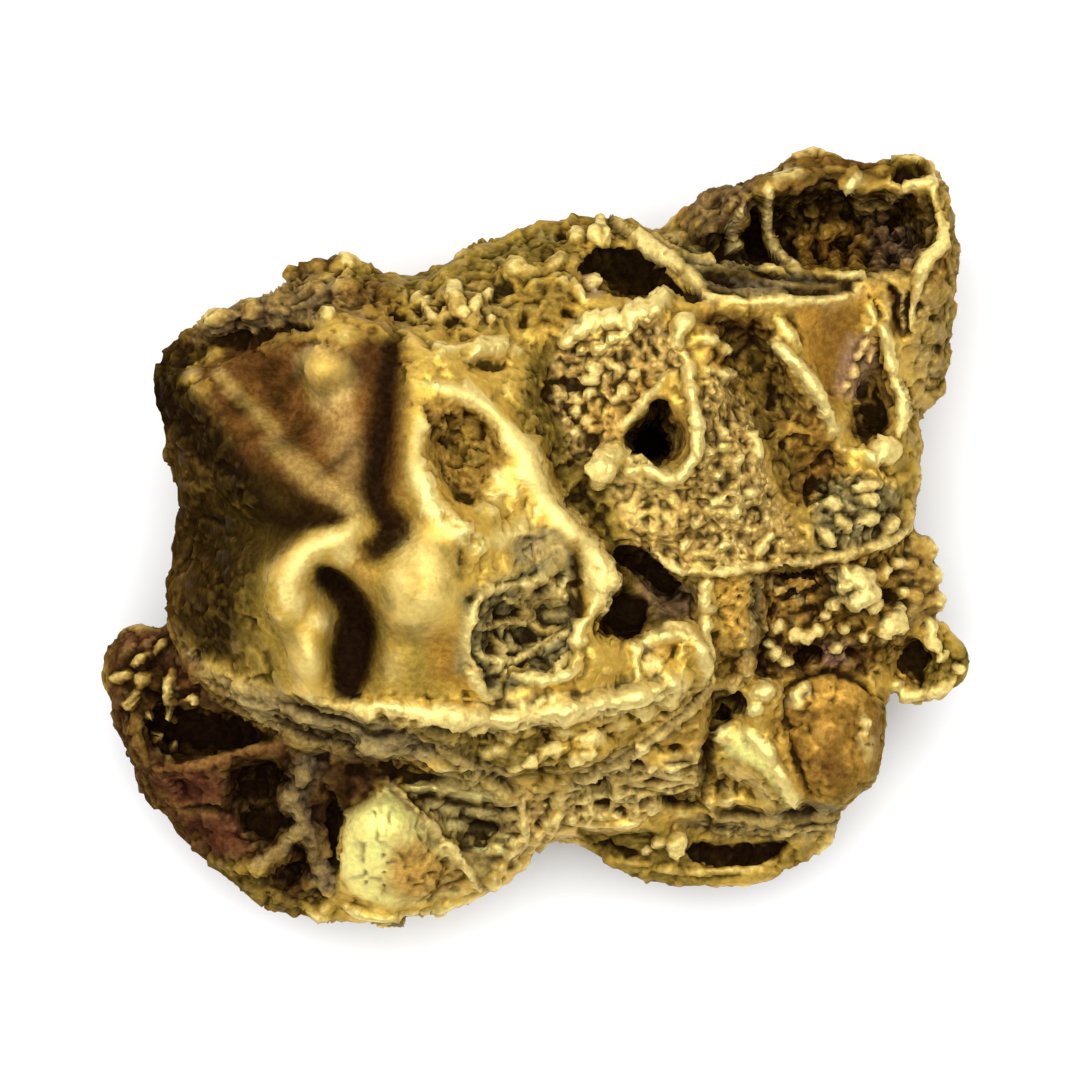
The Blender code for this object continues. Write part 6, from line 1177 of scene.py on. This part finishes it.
# Stained or rubbed lines, some of them painted shade or painted highlight. Each: colour, strength,
# half-width, corners.
LINES = (
    # The flank, the bowl and the long edges.
    (OLIVE, 0.6, 0.2, (-3.6, -0.6), (-3.55, -1.2), (-3.3, -1.7)),
    (SOOT_AND_SHADE, 0.85, 0.08, (2.1, 3.34), (2.6, 3.26), (3.2, 3.16)),
    (SOOT_AND_SHADE, 0.85, 0.06, (2.35, 3.28), (2.75, 3.3), (3.0, 3.22)),
    (SOOT_AND_SHADE, 0.85, 0.07, (3.1, 3.1), (3.6, 3.08), (3.9, 3.12)),
    (SOOT_AND_SHADE, 0.85, 0.05, (3.3, 3.28), (3.75, 3.22), (4.0, 3.26)),
    (ASH, 0.7, 0.08, (2.2, 3.2), (2.7, 3.15), (3.1, 3.2)),
    # A near-black band under the face and down the flank: stain and painted shade.
    (SOOT_AND_SHADE, 0.93, 0.36, (-4.45, 1.65), (-3.95, 1.05), (-3.45, 0.6), (-2.9, 0.28), (-2.3, 0.2)),
    (BROWN, 0.6, 0.2, (-3.6, 1.1), (-3.1, 0.95), (-2.6, 0.6)),
    (BROWN, 0.5, 0.2, (-3.3, 1.9), (-3.05, 1.5), (-2.8, 1.2)),
    (PALE_GOLD_AND_HIGHLIGHT, 0.5, 0.05, *PANEL_TOP),
    (PALE_GOLD_AND_HIGHLIGHT, 0.45, 0.06, *PANEL_SIDE),
    (PALE_GOLD_AND_HIGHLIGHT, 0.4, 0.05, (-0.42, -0.75), (0.08, -0.67), (0.41, -0.62)),
    (PALE_GOLD_AND_HIGHLIGHT, 0.4, 0.05, *PANEL_THREAD),
    (PALE_GOLD_AND_HIGHLIGHT, 0.5, 0.06, *PANEL_FOOT),
    (SOOT_AND_SHADE, 0.6, 0.07, (-0.6, -0.85), (-0.2, -0.88), (0.3, -0.85)),
    (SOOT_AND_SHADE, 0.6, 0.08, (-0.65, -1.25), (-0.2, -1.25), (0.2, -1.0)),
    (SOOT_AND_SHADE, 0.6, 0.08, (-0.5, -1.75), (-0.3, -1.6), (0.2, -1.45)),
    # The dark flank: stain and painted shade.
    (SOOT_AND_SHADE, 0.7, 0.5, (-4.2, 0.2), (-4.0, -0.4), (-4.0, -1.0)),
    (SOOT_AND_SHADE, 0.9, 0.14, (-2.72, -0.4), (-2.5, -0.62), (-2.25, -0.9), (-2.1, -1.2)),
    (SOOT_AND_SHADE, 0.7, 0.12, (-2.42, -1.2), (-2.48, -1.6), (-2.35, -1.9)),
    (GREY, 0.5, 0.06, (-2.8, -0.55), (-2.74, -0.8)),
    # Pale strokes on the C-shaped seam and the bulge: painted highlights.
    (PALE_GOLD_AND_HIGHLIGHT, 0.75, 0.14, (-2.25, 0.1), (-2.42, 0.0), (-2.42, -0.2)),
    (PALE_GOLD_AND_HIGHLIGHT, 0.6, 0.16, (-2.6, 0.0), (-2.95, -0.25), (-3.1, -0.6)),
    (PALE_GOLD_AND_HIGHLIGHT, 0.9, 0.13, (-3.1, -0.72), (-3.0, -0.85)),
    (PALE_GOLD_AND_HIGHLIGHT, 0.9, 0.11, (-2.78, -1.0), (-2.68, -1.05)),
    (PALE_GOLD_AND_HIGHLIGHT, 0.35, 0.14, (-2.9, -1.2), (-2.9, -1.6), (-2.85, -1.85)),
    (PALE_GOLD_AND_HIGHLIGHT, 0.3, 0.35, (-1.45, -0.15), (-1.6, -0.6), (-1.5, -0.9)),
    (ASH, 0.85, 0.07, *COLUMN_EDGE),
    (PALE_GOLD_AND_HIGHLIGHT, 0.6, 0.07, (2.98, -0.62), (3.2, -0.68)),
    (BROWN, 0.6, 0.1, (3.0, -1.95), (3.1, -2.3), (3.2, -2.7)),
    (BROWN, 0.45, 0.15, (3.35, -2.15), (3.6, -2.5), (3.7, -2.9)),
    (PALE_GOLD_AND_HIGHLIGHT, 0.8, 0.2, (-0.6, -2.17), (0.22, -2.1), (0.8, -2.02), (1.25, -1.92), (1.7, -1.8)),
    (PALE_GOLD_AND_HIGHLIGHT, 0.7, 0.12, (1.5, -1.2), (1.3, -1.4), (1.45, -1.65)),
    (GOLD, 0.5, 0.1, (-1.5, 1.45), (-1.53, 0.9), (-1.32, 0.36), (-1.05, 0.1), (-0.7, -0.02)),
    (PALE_GOLD_AND_HIGHLIGHT, 0.55, 0.09, (-0.83, 1.75), (-0.48, 1.4), (-0.18, 1.01), (0.0, 0.58), (0.35, 0.18),
     (0.61, -0.12), (0.74, -0.43)),
    (PALE_GOLD_AND_HIGHLIGHT, 0.8, 0.12, (0.34, 2.45), (0.63, 2.71), (1.11, 2.75), (1.55, 2.99)),
    (PALE_GOLD_AND_HIGHLIGHT, 0.6, 0.1, (0.72, 2.38), (1.11, 2.63)),
    (PALE_GOLD_AND_HIGHLIGHT, 0.85, 0.09, (2.95, 2.42), (3.27, 2.1), (3.47, 1.74), (3.68, 1.36)),
    (PALE_GOLD_AND_HIGHLIGHT, 0.7, 0.1, (1.84, 2.15), (1.87, 1.87), (1.93, 1.56), (1.99, 1.29), (1.88, 0.95),
     (1.66, 0.77), (1.38, 0.83), (1.11, 0.99), (0.75, 0.92)),
    (TAN, 0.45, 0.08, (-4.0, 2.08), (-3.66, 1.71), (-3.27, 1.36)),
    (TAN, 0.35, 0.16, (-3.3, 1.2), (-2.66, 0.66), (-2.15, 0.32)),
    (TAN, 0.3, 0.25, (-2.5, 1.6), (-2.35, 1.0), (-2.2, 0.5)),
    (TAN, 0.75, 0.26, (-2.8, 2.2), (-2.5, 2.0), (-2.6, 1.85)),
    (GOLD, 0.5, 0.2, (-2.75, 2.1), (-2.5, 2.05)),
    (BROWN, 0.7, 0.28, (-1.8, 2.2), (-1.85, 1.6), (-1.9, 1.0), (-1.85, 0.3)),
    (SOOT_AND_SHADE, 0.95, 0.2, (-1.83, 2.4), (-1.93, 1.84), (-1.99, 1.3), (-2.04, 0.7), (-1.95, 0.2)),
    (SOOT_AND_SHADE, 0.6, 0.08, (-4.5, 2.2), (-4.1, 2.44), (-3.5, 2.53), (-3.1, 2.65), (-2.8, 2.62)),
    (GOLD, 0.8, 0.17, (-2.15, 0.15), (-2.5, 0.0), (-2.85, -0.08), (-3.1, -0.4), (-3.1, -0.8)),
    (GOLD, 0.5, 0.12, (-2.75, -1.05), (-2.8, -1.5), (-2.85, -1.85)),
    (SOOT_AND_SHADE, 0.75, 0.09, (0.42, 0.0), (0.48, -0.4), (0.44, -0.9)),
    (SOOT_AND_SHADE, 0.6, 0.07, (-4.45, -3.38), (-4.2, -3.36), (-3.9, -3.42)),
    (PLUM, 0.95, 0.05, (-4.8, -2.86), (-4.0, -2.74), (-3.12, -2.52)),
    (ASH, 0.95, 0.16, *LOWER_FORK),
    (ASH, 0.9, 0.11, (-2.96, -3.55), (-3.24, -3.86), (-3.52, -4.06)),
    (GREY, 0.9, 0.06, *DROP_EDGE),
    (GREY, 0.85, 0.1, (0.43, -3.07), (0.96, -2.77), (1.58, -2.36), (2.08, -1.9)),
    (TAN, 0.7, 0.09, *BLOCK_TOP_EDGE),
    (GREY, 0.7, 0.1, *SHOULDER_EDGE),
    (PINK, 0.8, 0.07, *BOWL_LEFT_RIM),
    (PINK, 0.6, 0.1, (0.62, 3.25), (0.66, 3.12)),
    (TAN, 0.8, 0.06, *BOWL_INNER_RIM),
    (TAN, 0.6, 0.07, *BOWL_CUP_RIM),
    (GREY, 0.6, 0.06, (1.4, -0.15), (1.9, -0.42), (2.5, -0.35), (3.1, -0.3), (3.7, -0.2),
     (4.2, -0.05), (4.55, 0.12)),
    (SOOT_AND_SHADE, 0.6, 0.06, (1.9, -0.52), (2.5, -0.43), (3.1, -0.39), (3.7, -0.28), (4.1, -0.15)),
    # The C-shaped seam, the bulge and what lies below them.
    (OLIVE, 0.6, 0.09, (-1.9, -0.2), (-1.95, -0.5), (-1.85, -0.8)),
    (OLIVE, 0.45, 0.07, (-1.65, -0.35), (-1.5, -0.5), (-1.6, -0.7)),
    (OLIVE, 0.5, 0.07, (-1.3, -0.95), (-1.5, -1.1), (-1.75, -1.05)),
    (OLIVE, 0.5, 0.08, (-1.2, -0.1), (-1.1, -0.3), (-1.15, -0.6)),
    (SOOT_AND_SHADE, 0.6, 0.07, (-0.98, -0.1), (-0.95, -0.3), (-0.98, -0.45)),
    (OLIVE, 0.55, 0.12, (-1.9, -1.3), (-1.6, -1.35), (-1.5, -1.6)),
    (PALE_GOLD_AND_HIGHLIGHT, 0.4, 0.12, (-1.85, -1.5), (-1.8, -1.65)),
    (OLIVE, 0.5, 0.1, (-1.7, -1.85), (-1.4, -1.8), (-1.2, -1.9)),
    (OLIVE, 0.5, 0.12, (-2.0, -0.6), (-1.97, -1.2), (-2.02, -1.9)),
    (OLIVE, 0.5, 0.08, (-3.3, -0.55), (-3.35, -0.9), (-3.2, -1.2)),
    # The dark valley beside the C-shaped seam: dirt and painted shade.
    (SOOT_AND_SHADE, 0.96, 0.2, (-2.62, -0.48), (-2.35, -0.85), (-2.25, -1.3), (-2.42, -1.85)),
    # The dome.
    (SOOT_AND_SHADE, 0.4, 0.08, (4.35, -2.05), (4.48, -2.5), (4.3, -3.0)),
    (SOOT_AND_SHADE, 0.35, 0.06, (3.05, -1.95), (3.3, -1.72), (3.7, -1.64), (4.15, -1.8)),
    # Lighter strokes at the dome's upper left: painted highlights.
    (ORANGE, 0.5, 0.15, (3.35, -2.0), (3.6, -1.9), (3.9, -1.95)),
    (ORANGE, 0.45, 0.12, (3.6, -2.3), (3.4, -2.6)),
    (BROWN, 0.35, 0.12, (3.4, -2.75), (3.75, -2.9), (3.8, -3.1)),
    (BROWN, 0.3, 0.1, (3.9, -2.2), (3.75, -2.5)),
    (OLIVE, 0.6, 0.14, (4.3, -2.0), (4.4, -2.5), (4.2, -3.0), (3.7, -3.35)),
    (PALE_GOLD_AND_HIGHLIGHT, 0.6, 0.045, (4.05, -2.2), (4.1, -2.35)),
    (PALE_GOLD_AND_HIGHLIGHT, 0.5, 0.04, (4.0, -2.45), (4.05, -2.6)),
    (PALE_GOLD_AND_HIGHLIGHT, 0.4, 0.05, (4.15, -2.5), (4.1, -2.75)),
    (PALE_GOLD_AND_HIGHLIGHT, 0.6, 0.07, (3.15, -2.0), (3.35, -1.9)),
    # The red hollow.
    (PALE_GOLD_AND_HIGHLIGHT, 0.55, 0.06, (2.9, -0.55), (3.1, -0.62), (3.28, -0.75)),
    (ORANGE, 0.6, 0.08, (2.95, -0.7), (3.2, -0.5), (3.45, -0.55)),
    (SOOT_AND_SHADE, 0.8, 0.08, (2.85, -0.42), (3.2, -0.4)),
    (SOOT_AND_SHADE, 0.7, 0.08, (3.3, -0.88), (3.55, -0.7)),
    # The rim above the bowl.
    (SOOT_AND_SHADE, 0.8, 0.06, (2.35, 4.5), (2.6, 4.52)),
    (SOOT_AND_SHADE, 0.8, 0.08, (3.35, 4.5), (3.65, 4.55)),
    (PALE_GOLD_AND_HIGHLIGHT, 0.8, 0.07, (3.84, 4.36), (3.95, 4.5)),
    (PALE_GOLD_AND_HIGHLIGHT, 0.6, 0.07, (2.95, 4.55), (3.2, 4.6)),
    (PALE_GOLD_AND_HIGHLIGHT, 0.6, 0.05, (2.52, 4.1), (2.38, 3.88), (2.44, 3.68)),
    (SOOT_AND_SHADE, 0.7, 0.06, (4.0, 4.6), (4.25, 4.5)),
    (SOOT_AND_SHADE, 0.85, 0.07, (4.35, 3.15), (4.47, 3.0), (4.42, 2.8), (4.5, 2.6)),
    (TAN, 0.7, 0.04, (4.25, 3.1), (4.35, 2.9), (4.32, 2.7)),
    (TAN, 0.7, 0.04, (4.5, 3.1), (4.52, 2.9), (4.55, 2.7)),
    # The olive triangle.
    (PALE_GOLD_AND_HIGHLIGHT, 0.4, 0.08, (2.4, -2.9), (2.7, -3.05), (2.85, -3.25)),
    (PALE_GOLD_AND_HIGHLIGHT, 0.4, 0.06, (2.25, -3.05), (2.4, -3.2)),
    (OLIVE, 0.75, 0.04, (2.25, -2.72), (2.6, -2.8), (2.9, -3.1), (3.08, -3.36)),
    (SOOT_AND_SHADE, 0.6, 0.04, (2.2, -2.3), (2.25, -2.55), (2.15, -2.75)),
    # Streaks beside the pale drop.
    (PALE_GOLD_AND_HIGHLIGHT, 0.9, 0.04, (-1.6, -3.08), (-1.15, -3.15), (-0.65, -3.24)),
    (SOOT_AND_SHADE, 0.75, 0.035, (-1.5, -3.21), (-1.05, -3.27), (-0.55, -3.37)),
    (PALE_GOLD_AND_HIGHLIGHT, 0.9, 0.04, (-1.38, -3.33), (-0.93, -3.4), (-0.43, -3.49)),
    (SOOT_AND_SHADE, 0.75, 0.035, (-1.25, -3.46), (-0.8, -3.52), (-0.38, -3.62)),
    (PALE_GOLD_AND_HIGHLIGHT, 0.9, 0.04, (-1.15, -3.58), (-0.7, -3.65), (-0.38, -3.74)),
    (SOOT_AND_SHADE, 0.75, 0.035, (-1.02, -3.71), (-0.57, -3.77), (-0.38, -3.87)),
    (PALE_GOLD_AND_HIGHLIGHT, 0.9, 0.04, (-0.92, -3.83), (-0.47, -3.9), (-0.38, -3.99)),
    (SOOT_AND_SHADE, 0.75, 0.035, (-0.82, -3.96), (-0.37, -4.03), (-0.38, -4.12)),
    # The panel.
    (PALE_GOLD_AND_HIGHLIGHT, 0.45, 0.045, (0.1, -0.3), (0.3, -0.5), (0.25, -0.8)),
    (PALE_GOLD_AND_HIGHLIGHT, 0.4, 0.045, (-0.1, -0.85), (0.15, -0.95), (0.4, -0.9)),
    (PALE_GOLD_AND_HIGHLIGHT, 0.4, 0.045, (-0.5, -1.1), (-0.35, -1.2), (-0.45, -1.4)),
    # Dark gaps in the crumbly ground.
    (SOOT_AND_SHADE, 0.85, 0.09, (2.76, -1.15), (2.8, -1.45), (2.75, -1.65)),
    (SOOT_AND_SHADE, 0.8, 0.07, (3.5, -0.6), (3.62, -0.8), (3.45, -1.0)),
    (SOOT_AND_SHADE, 0.8, 0.06, (3.1, -1.35), (3.4, -1.32), (3.7, -1.2)),
    (SOOT_AND_SHADE, 0.7, 0.06, (4.2, -0.85), (4.35, -0.7), (4.5, -0.55)),
    (SOOT_AND_SHADE, 0.7, 0.06, (4.0, -1.0), (4.1, -1.25), (4.3, -1.35)),
)


# How thickly each colour lies over the metal. The others have one thickness in a region and
# another in a line.
FILM = {GOLD: 0, PALE_GOLD_AND_HIGHLIGHT: 0, HIGHLIGHT_GOLD: 0, TAN: 0.5, SOOT_AND_SHADE: 1, RED: 1, PLUM: 1, BROWN: 0.95, OLIVE: 0.8,
        ASH: 0.9}
REGION_FILM = 0.75
LINE_FILM = 0.6
FACE = ((-4.2, 2.1), (-2.2, 2.4), (-2.2, 0.4), (-3.6, 1.2))
FACE_GRAIN = np.array([[0.66, 0.75, 0], [-0.75, 0.66, 0], [0, 0, 1]])
DARKEST = 0.003


def mixed(base, colour, share):
    """The base with this share of the colour in its place."""
    return base + (np.array(colour) - base) * np.clip(share, 0, 1)[:, None]


def paint(skin):
    """The colour of each point, with painted shade in its hollows and painted highlights on its
    crests;
    how stained and shaded it is, and how bright it is rubbed and highlighted.
    """
    points = skin.points
    count = len(points)
    # How hollow or raised each point lies: hollows take painted shade and crests a painted
    # highlight.
    fine, broad = hollowness(skin, 3), hollowness(skin, 25)
    wide = hollowness(skin, 160)
    stain_and_shade = step_up(0.0, 0.018, fine) * 0.6 + step_up(0.01, 0.1, broad) * 0.6
    stain_and_shade += step_up(0.1, 0.5, wide) * 0.3
    crest_rub_and_highlight = step_up(0.002, 0.022, -fine) * 0.6 + step_up(0.02, 0.1, -broad) * 0.55
    colour = np.tile(np.array(GOLD, float), (count, 1))
    hidden = 1 - skin.seen
    cloud = step_up(-0.25, 0.45, rough(points, 1.6, 61))
    colour = mixed(colour, TAN, 0.55 * hidden)
    colour = mixed(colour, BROWN, 0.85 * cloud * hidden)
    film = 0.4 * hidden
    for tint, strength, soft, *outline in STAINS:
        share = strength * skin.inside(soft, *outline)
        colour = mixed(colour, tint, share)
        film = film + share * (FILM.get(tint, REGION_FILM) - film)
    for tint, strength, width, *corners in LINES:
        share = strength * skin.stroke(width, *corners)
        colour = mixed(colour, tint, share)
        film = film + share * (FILM.get(tint, LINE_FILM) - film)
    streaks = waves(points @ FACE_GRAIN * np.array([1, 0.16, 0.5]), 0.14, 70)
    colour *= (1 + 0.9 * streaks * skin.inside(0.2, *FACE))[:, None]
    blotch = 0.7 * rough(points, 0.3, 71) + 0.5 * rough(points, 0.12, 72)
    colour *= (1 + 0.5 * blotch * (0.6 + 0.4 * film))[:, None]
    # Painted highlight on the tops of the grain patterns.
    colour += skin.tops[:, None] * (0.5 * colour + 0.05 * np.array(PALE_GOLD_AND_HIGHLIGHT))
    # Painted shade and highlight from the fine relief: raised points lighter, hollow ones darker.
    relief_shade_and_highlight = step_up(-0.02, 0.02, -fine) - 0.5
    colour *= (1 + 0.9 * relief_shade_and_highlight * (0.3 + 0.7 * film) * (1 - 0.6 * skin.smooth))[:, None]
    # Painted shade: hollow, dirty and stained points darken towards near-black. Painted highlight:
    # crests lighten towards gold and pale gold.
    stain_and_shade = np.clip(stain_and_shade + 0.7 * skin.dirt_and_shade + 0.5 * skin.gaps + 0.12 * blotch, 0, 1)
    crest_rub_and_highlight = crest_rub_and_highlight * (1 - 0.9 * film) + 0.9 * skin.clean * (1 - 0.2 * film)
    crest_rub_and_highlight = np.clip(crest_rub_and_highlight * (1 + 0.35 * blotch), 0, 1) * (1 - 0.7 * stain_and_shade)
    colour = mixed(colour, SOOT_AND_SHADE, 0.93 * step_up(0.2, 1.0, stain_and_shade))
    colour = mixed(colour, GOLD, 0.75 * crest_rub_and_highlight)
    colour = mixed(colour, PALE_GOLD_AND_HIGHLIGHT, 0.8 * step_up(0.45, 0.9, crest_rub_and_highlight))
    return np.clip(colour, DARKEST, 1), np.clip(stain_and_shade + 0.8 * film, 0, 1), crest_rub_and_highlight


def attribute(mesh, name, values):
    """Keep a value or a colour for each point, for the shader to read."""
    if values.ndim == 2:
        layer = mesh.attributes.new(name, "FLOAT_COLOR", "POINT")
        layer.data.foreach_set("color", np.c_[values, np.ones(len(values))].ravel())
    else:
        layer = mesh.attributes.new(name, "FLOAT", "POINT")
        layer.data.foreach_set("value", values)


# ---------------------------------------------------------------- the piece


def fine_nugget():
    """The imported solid, remeshed finely and worked, in millimetres."""
    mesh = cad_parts[NODE].data.copy()
    put_points(mesh, points_of(mesh) / MM)
    piece = bpy.data.objects.new("nugget", mesh)
    bpy.context.scene.collection.objects.link(piece)
    remesh(piece, CELL)
    mesh = piece.data
    put_points(mesh, rubbed(points_of(mesh), edges_of(mesh), 6))
    skin = Skin(mesh)
    healed(skin)
    hollows(skin)
    skin.press()
    seams(skin)
    skin.press()
    skin.heal(*RUBBED_LOBE)
    grain_relief(skin)
    colour, stain_and_shade, crest_rub_and_highlight = paint(skin)
    for name, values in (("colour", colour), ("stain_and_shade", stain_and_shade), ("crest_rub_and_highlight", crest_rub_and_highlight),
                         ("coarse", skin.coarse), ("satin", skin.smooth)):
        attribute(mesh, name, values)
    sheltered = piece.vertex_groups.new(name="sheltered")
    under = skin.up < UNDERSIDE
    sheltered.add(np.nonzero(~under)[0].tolist(), OPEN_WEIGHT, "REPLACE")
    sheltered.add(np.nonzero(under)[0].tolist(), UNDERSIDE_WEIGHT, "REPLACE")
    return piece


def thin_out(piece):
    """Collapse the flattest triangles, first on the underside; a point of no weight would stay."""
    thin = piece.modifiers.new("thin", "DECIMATE")
    thin.ratio = min(1, MOST_TRIANGLES / (2 * len(piece.data.polygons)))
    thin.use_collapse_triangulate = True
    thin.vertex_group = "sheltered"
    thin.vertex_group_factor = WEIGHT_FACTOR
    modified(piece)


def set_down(piece):
    """Keep the piece above the floor, and turn its millimetres into metres."""
    points = points_of(piece.data)
    points[:, 2] = np.maximum(points[:, 2], 0)
    put_points(piece.data, points * MM)
    piece.data.shade_smooth()


piece = fine_nugget()
thin_out(piece)
set_down(piece)


# ---------------------------------------------------------------- the metal


material = bpy.data.materials.new("native_gold")
material.use_nodes = True
nodes, links = material.node_tree.nodes, material.node_tree.links
shader = nodes["Principled BSDF"]


def node(kind, label, **settings):
    """A shader node with these input values or properties."""
    made = nodes.new(kind)
    made.label = label
    for key, value in settings.items():
        if key in made.inputs:
            made.inputs[key].default_value = value
        else:
            setattr(made, key, value)
    return made


def reading(name, output="Fac"):
    """What the mesh keeps for each point under this name."""
    return node("ShaderNodeAttribute", name, attribute_name=name).outputs[output]


def sums(operation, *values):
    """A Math node on these values, each a number or another node's output."""
    made = node("ShaderNodeMath", operation.lower(), operation=operation)
    for socket, value in zip(made.inputs, values):
        if isinstance(value, (int, float)):
            socket.default_value = value
        else:
            links.new(value, socket)
    return made.outputs[0]


def ramp(value, low, high, start=0.0, end=1.0):
    """From start to end while the value goes from low to high."""
    made = node("ShaderNodeMapRange", "ramp", interpolation_type="SMOOTHSTEP")
    for key, number in zip(("From Min", "From Max", "To Min", "To Max"), (low, high, start, end)):
        made.inputs[key].default_value = number
    links.new(value, made.inputs["Value"])
    return made.outputs["Result"]


def blend(kind, share, one, two):
    """The first colour with this share of the second laid on it."""
    made = node("ShaderNodeMix", kind.lower(), data_type="RGBA", blend_type=kind)
    for socket, value in ((made.inputs[0], share), (made.inputs[6], one), (made.inputs[7], two)):
        if isinstance(value, (int, float, tuple)):
            socket.default_value = value
        else:
            links.new(value, socket)
    return made.outputs[2]


# A texture's scale is a number to the metre: the tooth is some 0.07 mm wide, the grains 0.1 mm
# and the clouds of the film 0.3 mm.
where = node("ShaderNodeTexCoord", "place on the nugget").outputs["Object"]
fine = node("ShaderNodeTexNoise", "fine tooth", Scale=14000, Detail=4, Roughness=0.6)
flakes = node("ShaderNodeTexVoronoi", "grains", Scale=9500, Randomness=0.9)
cloud = node("ShaderNodeTexNoise", "film", Scale=3200, Detail=5, Roughness=0.65)
for texture in (fine, flakes, cloud):
    links.new(where, texture.inputs["Vector"])
stain_and_shade, crest_rub_and_highlight, coarse = reading("stain_and_shade"), reading("crest_rub_and_highlight"), reading("coarse")
grain_top = ramp(flakes.outputs["Distance"], 0.15, 0.62, 1.0, 0.0)
speck = ramp(fine.outputs["Fac"], 0.35, 0.68)
patchy = ramp(cloud.outputs["Fac"], 0.35, 0.65)

# The base is darker between the grains and paler on some grains' tops, and no two grains are as
# bright.
base = reading("colour", "Color")
gap = sums("MULTIPLY", sums("SUBTRACT", 1.0, grain_top), sums("MULTIPLY", coarse, 0.45))
base = blend("MULTIPLY", gap, base, (0.22, 0.14, 0.08, 1))
single = node("ShaderNodeSeparateColor", "grain's chance")
links.new(flakes.outputs["Color"], single.inputs[0])
pale = sums("MULTIPLY", ramp(single.outputs[0], 0.62, 0.9), sums("MULTIPLY", coarse, 0.6))
dark = sums("MULTIPLY", ramp(single.outputs[1], 0.7, 0.9), sums("MULTIPLY", coarse, 0.45))
base = blend("MULTIPLY", dark, base, (0.3, 0.2, 0.11, 1))
pale = sums("MULTIPLY", pale, sums("SUBTRACT", 1.0, sums("MULTIPLY", stain_and_shade, 0.9)))
base = blend("SCREEN", sums("MULTIPLY", pale, grain_top), base, (0.42, 0.33, 0.16, 1))
# Speckled dulling, stronger where the stain and painted shade lie.
dulled = sums("ADD", sums("MULTIPLY", stain_and_shade, 0.5), 0.2)
dull = sums("MULTIPLY", sums("SUBTRACT", 1.0, speck), dulled)
base = blend("MULTIPLY", dull, base, (0.38, 0.26, 0.14, 1))
links.new(base, shader.inputs["Base Color"])
dirt_and_shade = sums("MULTIPLY", stain_and_shade, sums("SUBTRACT", 1.15, sums("MULTIPLY", patchy, 0.5)))
links.new(ramp(dirt_and_shade, 0.1, 0.7, 0.65, 0.0), shader.inputs["Metallic"])
links.new(ramp(dirt_and_shade, 0.1, 0.6, 0.3, 0.0), shader.inputs["Specular IOR Level"])
dullness = sums("ADD", ramp(dirt_and_shade, 0.0, 0.9, 0.52, 0.72), sums("MULTIPLY", crest_rub_and_highlight, -0.04))
dullness = sums("ADD", dullness, sums("MULTIPLY", reading("satin"), 0.1))
links.new(sums("ADD", dullness, sums("MULTIPLY", speck, 0.06)), shader.inputs["Roughness"])
relief = sums("MULTIPLY", grain_top, sums("ADD", sums("MULTIPLY", coarse, 0.9), 0.05))
relief = sums("ADD", relief, sums("MULTIPLY", fine.outputs["Fac"], sums("ADD", coarse, 0.2)))
relief = sums("ADD", relief, sums("MULTIPLY", cloud.outputs["Fac"], 0.9))
bump = node("ShaderNodeBump", "relief", Strength=0.8, Distance=0.00003)
links.new(relief, bump.inputs["Height"])
links.new(bump.outputs["Normal"], shader.inputs["Normal"])
piece.data.materials.clear()
piece.data.materials.append(material)

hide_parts(NODE)
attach(piece, "root")


# ---------------------------------------------------------------- floor, light and camera


FLOOR_HALF = 0.5
PAPER = (0.9, 0.9, 0.9, 1)
PAPER_ROUGHNESS = 0.9
ROOM = (0.06, 0.06, 0.06, 1)
# The camera looks straight down from afar, so that the sides lean in as little as in the photo.
CAMERA_HEIGHT = 0.228
LENS_MM = 600
SENSOR_MM = 36


def lamp(name, place, size, watts):
    """A round soft lamp that faces the nugget and isn't seen itself."""
    data = bpy.data.lights.new(name, "AREA")
    data.shape = "DISK"
    data.size = size
    data.energy = watts
    made = bpy.data.objects.new(name, data)
    made.location = place
    made.rotation_euler = (-Vector(place)).to_track_quat("-Z", "Y").to_euler()
    made.visible_camera = False
    bpy.context.scene.collection.objects.link(made)


ground = bpy.data.meshes.new("floor")
sheet = bmesh.new()
bmesh.ops.create_grid(sheet, x_segments=1, y_segments=1, size=FLOOR_HALF)
sheet.to_mesh(ground)
sheet.free()
floor = bpy.data.objects.new("floor", ground)
bpy.context.scene.collection.objects.link(floor)
paper = bpy.data.materials.new("floor")
paper.use_nodes = True
surface = paper.node_tree.nodes["Principled BSDF"]
surface.inputs["Base Color"].default_value = PAPER
surface.inputs["Roughness"].default_value = PAPER_ROUGHNESS
ground.materials.append(paper)

lamp("overhead", (0.0, 0.03, 0.3), 0.42, 2.1)
lamp("left", (-0.22, 0.15, 0.18), 0.12, 0.2)

world = bpy.data.worlds.new("world")
world.use_nodes = True
world.node_tree.nodes["Background"].inputs["Color"].default_value = ROOM
bpy.context.scene.world = world
bpy.context.scene.view_settings.view_transform = "Standard"

lens = bpy.data.cameras.new("camera")
lens.lens = LENS_MM
lens.sensor_width = SENSOR_MM
lens.clip_start = 0.005
lens.clip_end = 5
camera = bpy.data.objects.new("camera", lens)
camera.location = (0, 0, CAMERA_HEIGHT)
bpy.context.scene.collection.objects.link(camera)
bpy.context.scene.camera = camera
